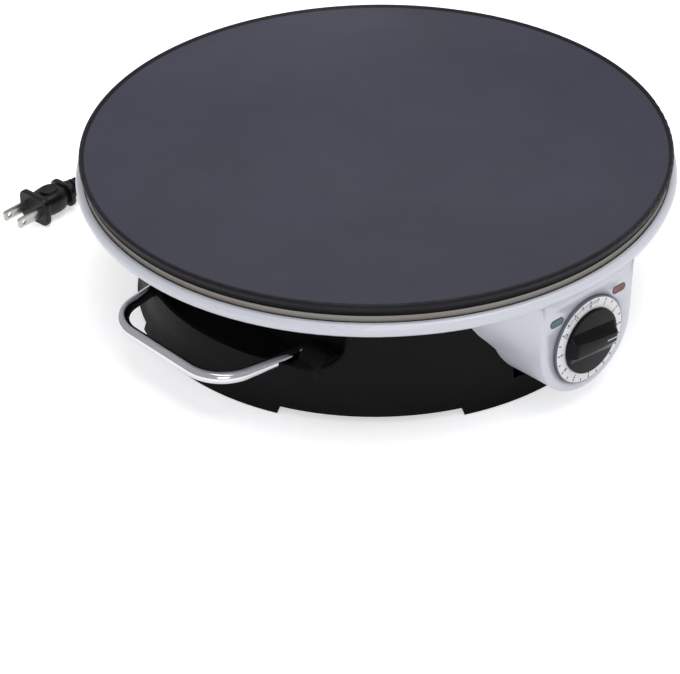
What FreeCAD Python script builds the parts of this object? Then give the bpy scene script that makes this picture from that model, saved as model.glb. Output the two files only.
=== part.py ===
import FreeCAD, Part
import math
import os

# Electric crepe maker: a round cast griddle plate on a silver housing ring with a dial box,
# standing on a black base with a folding wire handle on each side. Millimetres, +Z up.
# The origin is the centre of the base on the table top; the dial faces -Y, the handles lie
# at -X and +X, and the mains cord leaves at +Y.

V = FreeCAD.Vector
X_AXIS = V(1, 0, 0)
Y_AXIS = V(0, 1, 0)
Z_AXIS = V(0, 0, 1)

# General clearances
slip = 0.05          # radial clearance of a turning shaft
loose = 0.3          # clearance between pieces that only lie near each other
wall = 2.4           # plastic wall

# Griddle plate
plate_radius = 168.0
plate_draft = 2.4
plate_bottom = 87.6
plate_thickness = 6.4
rim_height = 1.2
rim_width = 2.8
rim_top_width = 1.2
rim_round_height = 2.0
plate_boss_radius = 6.0
plate_boss_height = 4.1
plate_foot_radius = plate_radius - plate_draft
plate_top = plate_bottom + plate_thickness

# Silver upper housing: ring and floor, stacked down from the plate
band_lip = 0.4
band_gap = 0.5
ring_mouth_step = 1.6
ring_swell = 2.4
ring_reveal = 3.9
ring_belly_drop = 3.3
ring_depth = 7.9
ring_low_shoulder = 1.3
floor_thickness = 2.2
floor_hole_radius = 50.0
shield_band_radius = plate_foot_radius + band_lip
ring_mouth_radius = shield_band_radius + band_gap
ring_low_radius = ring_mouth_radius + ring_mouth_step
ring_belly_radius = ring_low_radius + ring_swell
ring_top = plate_bottom - ring_reveal
ring_belly_height = ring_top - ring_belly_drop
floor_low = ring_top - ring_depth
floor_high = floor_low + floor_thickness

# Studs that carry the plate
stud_circle = 70.0
stud_count = 3
stud_start_angle = 30.0
stud_radius = 2.5
stud_depth = 4.0
stud_tail = 2.8
washer_radius = 6.5
washer_height = 1.0
nut_radius = 4.6
nut_height = 4.0
stud_end_height = floor_low - washer_height - nut_height - stud_tail

# Heating element under the plate
element_circle = 105.0
element_radius = 3.0
element_gap_angle = 10.0
element_bend = 9.0
element_drop = 12.0
rib_height = 3.0
rib_width = 2.4
clamp_angles = (40.0, 140.0, 220.0, 320.0)
strap_length = 26.0
strap_width = 9.0
strap_thickness = 0.6
strap_screw_inset = 9.5
strap_screw_radius = 1.6
tab_length = 9.0
tab_width = 6.3
tab_thickness = 0.8

# Steel heat shield, whose rim shows as the bare metal band
shield_dish = 5.5
shield_thickness = 0.6
shield_clear = 1.6
shield_band_above_ring = 0.3
shield_hole_radius = 60.0
shield_leg_gap = 3.0
shield_floor_radius = shield_band_radius - shield_dish
shield_floor = floor_high + shield_clear
shield_band_low = ring_top + shield_band_above_ring

# Dial box on the front of the upper housing
dial_height = 41.5
box_half_width = 35.0
box_corner_rise = 3.0
box_round_drop = 34.9
box_face_setback = 2.8
box_back_spread = 1.0
box_back_corner_drop = 7.5
box_back_low_rise = 0.4
box_flare = 33.0
box_edge_round = 2.0
box_brow_drop = 4.0
dial_recess_depth = 1.8
dial_plate_radius = 25.9
dial_plate_gap = 0.3
dial_plate_proud = 1.9
lamp_rise = 21.3
lamp_offset = 24.2
lens_length = 10.0
lens_width = 4.6
lens_proud = 0.3
lens_seat_inset = 0.2
lens_flange = 1.0
lamp_radius = 2.2
lamp_length = 12.0
box_back_half_width = box_half_width + box_back_spread
box_back_corner = dial_height - box_back_corner_drop
box_corner = dial_height + box_corner_rise
box_face_low = box_corner - box_round_drop
box_back_low = box_face_low + box_back_low_rise
box_flare_half_width = box_half_width + box_flare
box_face = ring_low_radius - box_face_setback
dial_recess_radius = dial_plate_radius + dial_plate_gap
dial_recess_floor = box_face - dial_recess_depth
dial_plate_thickness = dial_recess_depth + dial_plate_proud
lamp_height = dial_height + lamp_rise
lens_face_depth = box_face
retainer_radius = 4.2
lens_backing = 5.0
retainer_thickness = 1.2

# Knob and thermostat
knob_radius = 19.5
knob_taper = 0.3
knob_thickness = 2.1
knob_grip_height = 4.6
knob_grip_width = 8.4
knob_grip_spread = 5.0
knob_grip_end_slope = 1.6
knob_point_angle = -7.0
knob_socket_gap = 0.15
clip_half_width = 1.6
clip_thickness = 0.35
clip_inset = 1.0
clip_gap = 0.05
shaft_radius = 3.0
shaft_flat = 1.0
shaft_reach = 8.8
thermostat_width = 30.0
thermostat_height = 24.0
thermostat_depth = 14.0
thermostat_setback = 6.5
tab_offset_x = 9.0
tab_offset_z = 6.0
bracket_thickness = 1.2
bracket_height = 16.0
bracket_margin = 4.0
bracket_screw_radius = 1.75
bracket_screw_offset = 20.0
bracket_screw_skin = 1.1
bracket_screw_tip_gap = 0.4
bracket_screw_head_radius = 3.4
bracket_screw_head = 2.0
shaft_end = dial_recess_floor + shaft_reach
thermostat_front = dial_recess_floor - thermostat_setback
bracket_half_width = bracket_screw_offset + bracket_margin
bracket_screw_length = thermostat_setback - bracket_screw_skin

# Black base
base_foot_radius = 141.4
base_foot_low = 0.6
base_foot_high = 9.0
base_foot_flare = 4.0
base_wall_lean = 3.4
base_wall_radius = base_foot_radius - base_foot_flare
base_top_radius = base_wall_radius - base_wall_lean
box_back_depth = base_top_radius - 6.0
ledge_width = 1.1
ledge_radius = base_top_radius - wall - ledge_width
ledge_thickness = 2.0
notch_angle = 21.0
notch_height = 4.2
notch_slant = 2.5
post_radius = 5.5
post_inset = 3.0
post_circle = ledge_radius - post_radius - post_inset
post_rib = 3.0
screw_radius = 2.0
screw_head_radius = 4.0
screw_head_height = 2.2
window_half_width = 25.0
window_low = 12.0
window_high = 70.0

# Bottom cover and feet
cover_inset = 1.8
cover_radius = base_wall_radius - cover_inset
cover_low = 4.4
cover_thickness = 1.6
cover_high = cover_low + cover_thickness
vent_length = 44.0
vent_width = 4.5
vent_pitch = 10.0
vent_rows = 7
foot_radius = 7.5
foot_inset = 4.1
foot_circle = cover_radius - foot_radius - foot_inset
foot_stem_radius = 2.6
foot_stem_lip = 3.4
foot_lip_height = 1.4

# Wire handles and their pockets in the base
handle_rod_radius = 3.5
pivot_reach = 106.0
pivot_height = 29.0
pivot_half = 54.0
stub_length = 18.0
handle_length = 56.0
handle_taper = 9.0
handle_corner = 24.0
pivot_bend = 5.0
pocket_back_gap = 8.0
pocket_half = 86.0
pocket_corner = 18.0
pocket_sill_rise = 1.5
pit_margin = 4.8
pit_depth = 9.0
pit_corner = 6.0
groove_start = 10.0
groove_end = 42.0
pivot_boss_radius = 9.0
pivot_boss_gap = 0.7
pivot_boss_length = 15.5
stub_half = pivot_half + stub_length
bar_reach = pivot_reach + handle_length
bar_half = pivot_half - handle_taper
pocket_back = pivot_reach - pocket_back_gap
pocket_sill = pivot_height + pocket_sill_rise
pit_half = pivot_half + pit_margin
pit_floor = pivot_height - pit_depth
pivot_boss_start = pit_half + pivot_boss_gap
pivot_boss_end = pivot_boss_start + pivot_boss_length

# Mains cord, gland and clamp
cord_radius = 3.25
cord_height = 18.0
gland_root_radius = 6.2
gland_tip_radius = 4.4
gland_flange_radius = 8.0
gland_flange = 2.0
gland_stand_off = 0.6
gland_grooves = 6
gland_groove_pitch = 5.4
gland_groove_width = 2.2
gland_groove_depth = 1.0
gland_inner_reach = 9.0
block_width = 30.0
block_depth = 15.0
block_height = 18.0
block_setback = 36.0
block_screw_offset = 11.0
clamp_bed_depth = 9.0
clamp_bed_width = 26.0
clamp_setback = 17.0
clamp_bar_thickness = 3.0
clamp_screw_offset = 8.5
clamp_screw_radius = 1.5
wire_radius = 1.1
wire_pitch = 6.0
wire_bow = 32.0
wire_step = 12.0
gland_inner_end = base_wall_radius - gland_inner_reach - 0.4
block_front = gland_inner_end - block_setback
clamp_bed_start = gland_inner_end - clamp_setback

# Cord route on the table
cord_rest = cord_radius + 0.05
coil_centre = V(60.0, 194.0, 0)
coil_outer = 42.0
coil_pitch = 8.5
coil_low = 4.3
coil_rise = 7.0
coil_side_turns = 1.5
coil_straight = 2 * cord_radius
tie_thickness = 0.8
tie_width = 8.0
tie_gap = 0.3

# Plug
plug_y = 198.0
plug_height = 9.2
plug_front = -102.5
plug_turn = 5.0
plug_flange_width = 24.0
plug_flange_thickness = 4.0
plug_body_width = 19.0
plug_body_height = 14.5
plug_body_length = 19.5
plug_rear_width = 19.5
plug_rear_height = 14.0
plug_rear_thickness = 3.2
relief_length = 17.5
relief_radius = 6.0
relief_tip_radius = 4.3
relief_ribs = 5
blade_pitch = 12.7
blade_length = 17.8
blade_width = 6.4
blade_thickness = 1.6
blade_hole_radius = 1.6
blade_hole_inset = 4.2


# Helpers

def cylinder(radius, low, high, x=0.0, y=0.0):
    return Part.makeCylinder(radius, high - low, V(x, y, low))


def rod_between(start, end, radius):
    return Part.makeCylinder(radius, (end - start).Length, start, end - start)


def block(x_low, x_high, y_low, y_high, z_low, z_high):
    return Part.makeBox(x_high - x_low, y_high - y_low, z_high - z_low, V(x_low, y_low, z_low))


def edges_through(points):
    """Straight edges between points; a triple (via, end) makes an arc to end through via."""
    edges = []
    here = points[0]
    for step in points[1:]:
        if isinstance(step, tuple):
            edges.append(Part.Arc(here, step[0], step[1]).toShape())
            here = step[1]
        else:
            edges.append(Part.LineSegment(here, step).toShape())
            here = step
    return edges


def revolved(points):
    """A closed profile in the XZ plane turned once round the Z axis."""
    profile = edges_through(points)
    first = points[0]
    last = points[-1][1] if isinstance(points[-1], tuple) else points[-1]
    profile.append(Part.LineSegment(last, first).toShape())
    return Part.Face(Part.Wire(profile)).revolve(V(0, 0, 0), Z_AXIS, 360)


def rz(radius, height):
    return V(radius, 0, height)


def on_circle(radius, angle, height=0.0):
    turn = math.radians(angle)
    return V(radius * math.cos(turn), radius * math.sin(turn), height)


def turned(shape, angle, axis=Z_AXIS, centre=V(0, 0, 0)):
    copy = shape.copy()
    copy.rotate(centre, axis, angle)
    return copy


def mirrored(shape):
    return shape.mirror(V(0, 0, 0), X_AXIS)


def joined(shapes):
    whole = shapes[0]
    for shape in shapes[1:]:
        whole = whole.fuse(shape)
    return whole.removeSplitter()


def group(shapes):
    return Part.makeCompound(shapes)


def capsule(length, width, depth, front, x, z):
    """A bar with round ends that lies along X and runs inwards from y = -front."""
    half = length / 2 - width / 2
    radius = width / 2
    points = [V(x - half, -front, z - radius), V(x + half, -front, z - radius),
              (V(x + half + radius, -front, z), V(x + half, -front, z + radius)),
              V(x - half, -front, z + radius),
              (V(x - half - radius, -front, z), V(x - half, -front, z - radius))]
    return Part.Face(Part.Wire(edges_through(points))).extrude(V(0, depth, 0))


def rounded_path(points, radii=None, share=0.45):
    """Straight runs joined by tangent arcs. Without radii, each arc takes a share of its shorter run."""
    edges = []
    sizes = []
    here = points[0]
    for i in range(1, len(points) - 1):
        back = points[i - 1] - points[i]
        ahead = points[i + 1] - points[i]
        shorter = min(back.Length, ahead.Length)
        back.normalize()
        ahead.normalize()
        half_turn = (math.pi - back.getAngle(ahead)) / 2
        reach = share * shorter
        if radii:
            reach = radii[i - 1] * math.tan(half_turn)
        radius = reach / math.tan(half_turn)
        sizes.append(radius)
        start = points[i] + back * reach
        end = points[i] + ahead * reach
        inward = back + ahead
        inward.normalize()
        middle = points[i] + inward * (radius / math.cos(half_turn) - radius)
        edges.append(Part.LineSegment(here, start).toShape())
        edges.append(Part.Arc(start, middle, end).toShape())
        here = end
    edges.append(Part.LineSegment(here, points[-1]).toShape())
    return Part.Wire(edges), sizes


def swept(path, radius):
    """A round bar along a path, from one end face to the other."""
    start = path.Edges[0].valueAt(path.Edges[0].FirstParameter)
    heading = path.Edges[0].tangentAt(path.Edges[0].FirstParameter)
    ring = Part.Wire([Part.makeCircle(radius, start, heading)])
    return path.makePipeShell([ring], True, False)


def screw(x, y, head_low, head_radius, head_height, shank_radius, tip):
    """A pan-head screw that points up, its head at the bottom."""
    head = cylinder(head_radius, head_low, head_low + head_height, x, y)
    slot = block(x - head_radius, x + head_radius, y - 0.5, y + 0.5, head_low, head_low + head_height / 2)
    return joined([head.cut(slot), cylinder(shank_radius, head_low + head_height, tip, x, y)])


def stud_places():
    step = 360.0 / stud_count
    return [on_circle(stud_circle, stud_start_angle + step * i) for i in range(stud_count)]


def post_places():
    return [on_circle(post_circle, 45 + 90 * i) for i in range(4)]


def foot_places():
    return [on_circle(foot_circle, 90 * i) for i in range(4)]


# Plate, element and heat shield

def strap_screw_place(angle):
    return on_circle(element_circle - strap_screw_inset, angle)


def cooking_plate():
    rim_inner = plate_radius - rim_width
    rim_top = plate_top + rim_height
    rim_flat = rim_inner + (rim_width - rim_top_width) / 2
    body = revolved([
        rz(0, plate_bottom), rz(plate_foot_radius, plate_bottom),
        rz(plate_radius, rim_top - rim_round_height),
        (rz(plate_radius - 0.3, rim_top - 0.5), rz(rim_flat + rim_top_width, rim_top)),
        rz(rim_flat, rim_top), rz(rim_inner, plate_top), rz(0, plate_top)])
    rib_low = plate_bottom - rib_height
    grip = element_radius + 0.1
    adds = []
    for inner in (element_circle - grip - rib_width, element_circle + grip):
        rib = cylinder(inner + rib_width, rib_low, plate_bottom).cut(cylinder(inner, rib_low, plate_bottom))
        adds.append(rib)
    tail_half = element_circle * math.sin(math.radians(element_gap_angle)) + element_radius
    opening = block(-tail_half, tail_half, -element_circle - 12, -element_circle + 14, rib_low - 1, plate_bottom)
    ribs = group(adds).cut(opening)
    bosses = [cylinder(plate_boss_radius, plate_bottom - plate_boss_height, plate_bottom, p.x, p.y)
              for p in stud_places()]
    strap_top = plate_bottom - 2 * element_radius - 0.1
    for angle in clamp_angles:
        p = strap_screw_place(angle)
        bosses.append(cylinder(3.4, strap_top, plate_bottom, p.x, p.y))
    whole = joined([body] + ribs.Solids + bosses)
    for p in stud_places():
        whole = whole.cut(cylinder(stud_radius + slip, 0, plate_bottom + stud_depth, p.x, p.y))
    for angle in clamp_angles:
        p = strap_screw_place(angle)
        whole = whole.cut(cylinder(strap_screw_radius + slip, 0, plate_bottom + 2, p.x, p.y))
    return whole


def element_axis_height():
    return plate_bottom - element_radius


def element_end(side):
    """Where the centre line of one element end runs down; side is -1 or 1 along X."""
    start = on_circle(element_circle, -90 + side * element_gap_angle)
    heading = on_circle(1.0, -90 + side * element_gap_angle - side * 90)
    return start + heading * element_bend


def heating_element():
    height = element_axis_height()
    first = on_circle(element_circle, -90 + element_gap_angle, height)
    last = on_circle(element_circle, -90 - element_gap_angle, height)
    around = Part.Arc(first, V(0, element_circle, height), last).toShape()
    edges = [around]
    down = V(0, 0, -element_bend)
    for side, place in ((1, first), (-1, last)):
        end = element_end(side)
        foot = V(end.x, end.y, height) + down
        corner = V(end.x, end.y, height)
        inward = (place - corner) + (foot - corner)
        inward.normalize()
        middle = corner + inward * element_bend * (math.sqrt(2) - 1)
        bend = Part.Arc(place, middle, foot) if side < 0 else Part.Arc(foot, middle, place)
        tip = foot - V(0, 0, element_drop)
        leg = Part.LineSegment(foot, tip) if side < 0 else Part.LineSegment(tip, foot)
        edges = edges + [bend.toShape(), leg.toShape()] if side < 0 else [leg.toShape(), bend.toShape()] + edges
    return swept(Part.Wire(edges), element_radius)


def element_tip_height():
    return element_axis_height() - element_bend - element_drop


def element_tabs():
    tabs = []
    for side in (-1, 1):
        end = element_end(side)
        low = element_tip_height() - tab_length
        tabs.append(block(end.x - tab_thickness / 2, end.x + tab_thickness / 2,
                          end.y - tab_width / 2, end.y + tab_width / 2, low, element_tip_height()))
    return group(tabs)


def strap_low():
    return plate_bottom - 2 * element_radius - 0.1 - strap_thickness


def element_straps():
    straps = []
    for angle in clamp_angles:
        reach = element_circle - strap_screw_inset - 5
        low = strap_low()
        strap = block(reach, reach + strap_length, -strap_width / 2, strap_width / 2, low, low + strap_thickness)
        hole = cylinder(strap_screw_radius + 0.2, low - 1, low + 1, element_circle - strap_screw_inset, 0)
        straps.append(turned(strap.cut(hole), angle))
    return group(straps)


def strap_screws():
    shapes = []
    for angle in clamp_angles:
        p = strap_screw_place(angle)
        low = strap_low() - 0.6
        head = cylinder(2.8, low, low + 0.6, p.x, p.y)
        shapes.append(joined([head, cylinder(strap_screw_radius, low + 0.6, plate_bottom + 1.5, p.x, p.y)]))
    return group(shapes)


def heat_shield():
    t = shield_thickness
    top = plate_bottom - 0.1
    body = revolved([
        rz(shield_hole_radius, shield_floor), rz(shield_floor_radius, shield_floor),
        rz(shield_band_radius, shield_band_low), rz(shield_band_radius, top),
        rz(shield_band_radius - t, top), rz(shield_band_radius - t, shield_band_low + t / 2),
        rz(shield_floor_radius - t / 2, shield_floor + t), rz(shield_hole_radius, shield_floor + t)])
    for p in stud_places():
        body = body.cut(cylinder(stud_radius + 0.2, 0, plate_top, p.x, p.y))
    for side in (-1, 1):
        end = element_end(side)
        body = body.cut(cylinder(element_radius + shield_leg_gap, 0, plate_bottom, end.x, end.y))
    return body


def plate_studs():
    return group([cylinder(stud_radius, stud_end_height, plate_bottom + stud_depth - 0.2, p.x, p.y)
                  for p in stud_places()])


def stud_spacers():
    spans = ((floor_high, shield_floor), (shield_floor + shield_thickness, plate_bottom - plate_boss_height))
    rings = []
    for p in stud_places():
        for low, high in spans:
            ring = cylinder(plate_boss_radius, low, high, p.x, p.y)
            rings.append(ring.cut(cylinder(stud_radius + slip, low - 1, high + 1, p.x, p.y)))
    return group(rings)


def hexagon_nut(x, y, low, high, bore):
    corners = [on_circle(nut_radius, 60 * i, low) + V(x, y, 0) for i in range(7)]
    nut = Part.Face(Part.makePolygon(corners)).extrude(V(0, 0, high - low))
    return nut.cut(cylinder(bore, low - 1, high + 1, x, y))


def plate_nuts():
    high = floor_low - washer_height
    return group([hexagon_nut(p.x, p.y, high - nut_height, high, stud_radius + slip) for p in stud_places()])


def plate_washers():
    rings = []
    for p in stud_places():
        ring = cylinder(washer_radius, floor_low - washer_height, floor_low, p.x, p.y)
        rings.append(ring.cut(cylinder(stud_radius + slip, 0, plate_top, p.x, p.y)))
    return group(rings)


# Thermal cut-out on the underside of the plate

fuse_place = V(0, 30.0, 0)
fuse_radius = 2.2
fuse_length = 22.0
fuse_lead = 8.0
fuse_screw_offset = 8.0


def thermal_fuse():
    height = plate_bottom - fuse_radius - 0.1
    half = fuse_length / 2
    body = rod_between(V(-half, fuse_place.y, height), V(half, fuse_place.y, height), fuse_radius)
    leads = rod_between(V(-half - fuse_lead, fuse_place.y, height), V(half + fuse_lead, fuse_place.y, height), 0.6)
    return joined([body, leads])


def fuse_bracket():
    outer = fuse_radius + 0.1
    height = plate_bottom - fuse_radius - 0.1
    half = 3.0
    y = fuse_place.y
    saddle = rod_between(V(-half, y, height), V(half, y, height), outer + 0.6)
    saddle = saddle.cut(rod_between(V(-half - 1, y, height), V(half + 1, y, height), outer))
    saddle = saddle.cut(block(-half - 1, half + 1, y - 9, y + 9, height, plate_top))
    legs = []
    for side in (-1, 1):
        edge = y + side * outer
        far = y + side * (fuse_screw_offset + 4)
        legs.append(block(-half, half, min(edge, edge + side * 0.6), max(edge, edge + side * 0.6),
                          height, plate_bottom))
        flap = block(-half, half, min(edge, far), max(edge, far), plate_bottom - 0.6, plate_bottom)
        legs.append(flap)
    whole = joined([saddle] + legs)
    for side in (-1, 1):
        whole = whole.cut(cylinder(1.6, 0, plate_top, 0, y + side * fuse_screw_offset))
    return whole


# Upper housing

def box_section(depth, half, corner, low, top_half, top):
    """Closed outline of the dial box at y = -depth: two sides and a round bottom."""
    rise = corner - low
    radius = (half * half + rise * rise) / (2 * rise)
    centre = low + radius
    lean = math.atan2(half, centre - corner) / 2
    right = V(radius * math.sin(lean), -depth, centre - radius * math.cos(lean))
    left = V(-right.x, -depth, right.z)
    points = [V(top_half, -depth, top), V(half, -depth, corner),
              (right, V(0, -depth, low)), (left, V(-half, -depth, corner)),
              V(-top_half, -depth, top), V(top_half, -depth, top)]
    return Part.Wire(edges_through(points))


def box_solid(inset, top):
    """The dial box shape with its flat face, drawn in by inset on every side but its top."""
    face_half = box_half_width - inset
    back = box_section(box_back_depth, box_back_half_width - inset, box_back_corner, box_back_low + inset,
                       box_flare_half_width - 1.4 * inset, top)
    face = box_section(box_face + 1.0, face_half, box_corner, box_face_low + inset, face_half, top)
    loft = Part.makeLoft([back, face], True, True)
    return loft.common(block(-200, 200, inset - box_face, -box_back_depth, 0, top))


def box_brow():
    """Slope under the ring's edge that leads down to the flat face."""
    low = floor_low - box_brow_drop
    back = box_face - 1.0
    outline = [V(0, -back, low), V(0, -box_face, low), V(0, -ring_low_radius, floor_low), V(0, -back, floor_low),
               V(0, -back, low)]
    half = box_half_width - box_edge_round
    slope = Part.Face(Part.makePolygon(outline)).extrude(V(2 * half, 0, 0))
    slope.translate(V(-half, 0, 0))
    return slope.common(cylinder(ring_low_radius, 0, floor_low))


def soften_face(shape):
    """Rounds the edge where the box sides meet its face."""
    picked = []
    for edge in shape.Edges:
        middle = edge.valueAt((edge.FirstParameter + edge.LastParameter) / 2)
        if abs(middle.y + box_face) < 0.05 and middle.z < floor_low:
            picked.append(edge)
    return shape.makeFillet(box_edge_round, picked)


def drum_outer(gap=0.0, top=None):
    """The base's outside as one solid, grown by gap."""
    high = floor_low if top is None else top
    return revolved([rz(0, base_foot_low), rz(base_foot_radius + gap, base_foot_low),
                     rz(base_wall_radius + gap, base_foot_high), rz(base_top_radius + gap, high),
                     rz(0, high)])


def housing_ring():
    side = wall
    low_out = ring_low_radius + (ring_belly_radius - ring_low_radius) / 2
    return revolved([
        rz(ring_mouth_radius, ring_top),
        (rz(ring_belly_radius - 1.1, ring_belly_height + 2.4), rz(ring_belly_radius, ring_belly_height)),
        rz(low_out, floor_low + ring_low_shoulder),
        rz(ring_low_radius, floor_low), rz(floor_hole_radius, floor_low), rz(floor_hole_radius, floor_high),
        rz(ring_low_radius - 0.8, floor_high), rz(ring_belly_radius - side, ring_belly_height),
        rz(ring_mouth_radius, ring_top - 1.0)])


def lens_seat():
    return lens_face_depth + lens_seat_inset - wall


def lamp_cut(side):
    return capsule(lens_length + 0.1, lens_width + 0.1, 12, ring_belly_radius, side * lamp_offset, lamp_height)


def upper_housing():
    top = floor_low + 0.5
    outer = soften_face(box_solid(0.0, top))
    inner = box_solid(wall, floor_low)
    pillar_front = dial_recess_floor - 0.5
    bracket_front = thermostat_front + bracket_thickness
    backing = Part.makeCylinder(dial_recess_radius + wall, wall, V(0, -dial_recess_floor, dial_height), Y_AXIS)
    collar = Part.makeCylinder(dial_recess_radius + wall, 6, V(0, -dial_recess_floor - 3, dial_height), Y_AXIS)
    shell = outer.cut(inner)
    solids = [shell, backing, collar.common(outer), box_brow()]
    for side in (-1, 1):
        x = side * bracket_screw_offset
        pillar = Part.makeCylinder(4.0, pillar_front - bracket_front, V(x, -pillar_front, dial_height), Y_AXIS)
        solids.append(pillar.common(outer))
    for side in (-1, 1):
        solids.append(capsule(lens_length + 5 * wall, lens_width + 3 * wall, lens_backing, lens_face_depth + lens_seat_inset,
                              side * lamp_offset, lamp_height).common(outer))
    box = joined(solids)
    box = box.cut(Part.makeCylinder(dial_recess_radius, 20, V(0, -dial_recess_floor, dial_height), -Y_AXIS))
    box = box.cut(Part.makeCylinder(shaft_radius + 1.2, 30, V(0, -dial_recess_floor - 10, dial_height), Y_AXIS))
    for side in (-1, 1):
        hole = Part.makeCylinder(bracket_screw_radius + slip, bracket_screw_length,
                                 V(side * bracket_screw_offset, -thermostat_front, dial_height), -Y_AXIS)
        box = box.cut(hole)
        box = box.cut(lamp_cut(side))
        seat = capsule(lens_length + 2 * retainer_radius - 2, 2 * retainer_radius + 1, 9, lens_seat(),
                       side * lamp_offset, lamp_height)
        box = box.cut(seat)
    box = box.cut(drum_outer(0.15))
    whole = joined([housing_ring(), box])
    for p in stud_places():
        whole = whole.cut(cylinder(stud_radius + 0.2, 0, plate_top, p.x, p.y))
    for p in post_places():
        whole = whole.fuse(cylinder(post_radius, floor_low, shield_floor - loose, p.x, p.y))
        whole = whole.cut(cylinder(screw_radius + slip, 0, shield_floor - loose - 0.8, p.x, p.y))
    for side in (-1, 1):
        end = element_end(side)
        whole = whole.cut(cylinder(element_radius + 2.5, floor_low - 1, floor_high + 1, end.x, end.y))
    return whole.removeSplitter()


# Dial, knob, lamps and thermostat

def dial_plate():
    disc = Part.makeCylinder(dial_plate_radius, dial_plate_thickness, V(0, -dial_recess_floor, dial_height), -Y_AXIS)
    return disc.cut(Part.makeCylinder(shaft_radius + 1.2, 30, V(0, -dial_recess_floor + 5, dial_height), -Y_AXIS))


def knob_back():
    return dial_recess_floor + dial_plate_thickness + loose


def dial_knob():
    back = knob_back()
    front = back + knob_thickness
    centre = V(0, -back, dial_height)
    disc = Part.makeCone(knob_radius, knob_radius - knob_taper, knob_thickness, centre, -Y_AXIS)
    half = knob_grip_width / 2
    reach = knob_radius - knob_taper - 0.2
    grip_top = front + knob_grip_height

    def grip_outline(along, across):
        return [V(-along, 0, -across), V(along, 0, -across), V(along, 0, across), V(-along, 0, across),
                V(-along, 0, -across)]

    foot = grip_outline(reach, half + knob_grip_spread)
    head = grip_outline(reach - knob_grip_end_slope, half)
    low_wire = Part.makePolygon([p + V(0, -front + 0.5, dial_height) for p in foot])
    high_wire = Part.makePolygon([p + V(0, -grip_top, dial_height) for p in head])
    grip = Part.makeLoft([low_wire, high_wire], True, True)
    round_off = Part.makeCylinder(knob_radius - knob_taper - 0.2, 40, centre, -Y_AXIS)
    grip = grip.common(round_off)
    groove = block(reach * 0.45, reach + 2, -grip_top - 1, -grip_top + 0.8, dial_height - 0.7, dial_height + 0.7)
    knob = joined([disc, grip]).cut(groove)
    knob = turned(knob, -knob_point_angle, Y_AXIS, V(0, 0, dial_height))
    bore = Part.makeCylinder(shaft_radius + 0.02, shaft_end + knob_socket_gap - back, centre, -Y_AXIS)
    flat = block(-5, 5, -back - 20, -back, dial_height + shaft_radius - shaft_flat + 0.02, dial_height + 9)
    clip_space = clip_shape(clip_gap)
    return knob.cut(bore.cut(flat)).cut(clip_space)


def thermostat_shaft():
    tail = thermostat_front - thermostat_depth + 4
    shaft = Part.makeCylinder(shaft_radius, shaft_end - tail, V(0, -tail, dial_height), -Y_AXIS)
    flat_start = knob_back()
    flat = block(-5, 5, -shaft_end - 1, -flat_start + 0.5, dial_height + shaft_radius - shaft_flat, dial_height + 9)
    return shaft.cut(flat)


def thermostat_body():
    half = thermostat_width / 2
    high = thermostat_height / 2
    back = thermostat_front - thermostat_depth
    body = block(-half, half, -thermostat_front, -back, dial_height - high, dial_height + high)
    body = body.makeFillet(2.0, [e for e in body.Edges if abs(e.tangentAt(0).y) > 0.9])
    body = body.cut(Part.makeCylinder(shaft_radius + slip, thermostat_depth - 3.5,
                                      V(0, -thermostat_front, dial_height), Y_AXIS))
    tabs = []
    thick = tab_thickness / 2
    for x in (-tab_offset_x, tab_offset_x):
        for z in (dial_height - tab_offset_z, dial_height + tab_offset_z):
            tabs.append(block(x - thick, x + thick, -back, -back + tab_length, z - tab_width / 2, z + tab_width / 2))
    return joined([body] + tabs)


def thermostat_bracket():
    t = bracket_thickness
    front = thermostat_front + t
    plate = block(-bracket_half_width, bracket_half_width, -front, -thermostat_front,
                  dial_height - bracket_height / 2, dial_height + bracket_height / 2)
    plate = plate.cut(Part.makeCylinder(shaft_radius + 1.0, 9, V(0, -front - 1, dial_height), Y_AXIS))
    for side in (-1, 1):
        hole = Part.makeCylinder(bracket_screw_radius + 0.2, 9, V(side * bracket_screw_offset, -front - 1,
                                 dial_height), Y_AXIS)
        plate = plate.cut(hole)
    return plate


def bracket_screws():
    shapes = []
    for side in (-1, 1):
        x = side * bracket_screw_offset
        seat = V(x, -thermostat_front, dial_height)
        head = Part.makeCylinder(bracket_screw_head_radius, bracket_screw_head, seat, Y_AXIS)
        shank = Part.makeCylinder(bracket_screw_radius, bracket_screw_length - bracket_screw_tip_gap, seat, -Y_AXIS)
        shapes.append(joined([head, shank]))
    return group(shapes)


def clip_shape(gap):
    low = dial_height + shaft_radius - shaft_flat
    return block(-clip_half_width - gap, clip_half_width + gap, -shaft_end + clip_inset - gap,
                 -knob_back() - 0.5 + gap, low, low + clip_thickness + gap)


def knob_clip():
    """Leaf spring on the flat of the shaft that grips the knob."""
    return clip_shape(0.0)


def lens(side):
    face = lens_face_depth + lens_proud
    body = capsule(lens_length, lens_width, lens_proud + wall + 0.6, face, side * lamp_offset, lamp_height)
    flange = capsule(lens_length + 2 * lens_flange, lens_width + 2 * lens_flange, 1.0, lens_seat(),
                     side * lamp_offset, lamp_height)
    return joined([body, flange])


def lamp(side):
    start = V(side * lamp_offset, 1.0 - lens_seat(), lamp_height)
    bulb = Part.makeCylinder(lamp_radius, lamp_length, start, Y_AXIS)
    return bulb.makeFillet(0.8, [bulb.Edges[0]])


def lamp_retainers():
    rings = []
    for side in (-1, 1):
        start = V(side * lamp_offset, 1.0 - lens_seat(), lamp_height)
        ring = Part.makeCylinder(retainer_radius, retainer_thickness, start, Y_AXIS)
        rings.append(ring.cut(Part.makeCylinder(lamp_radius + slip, 9, start - Y_AXIS, Y_AXIS)))
    return group(rings)


# Base, cover and feet

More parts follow.
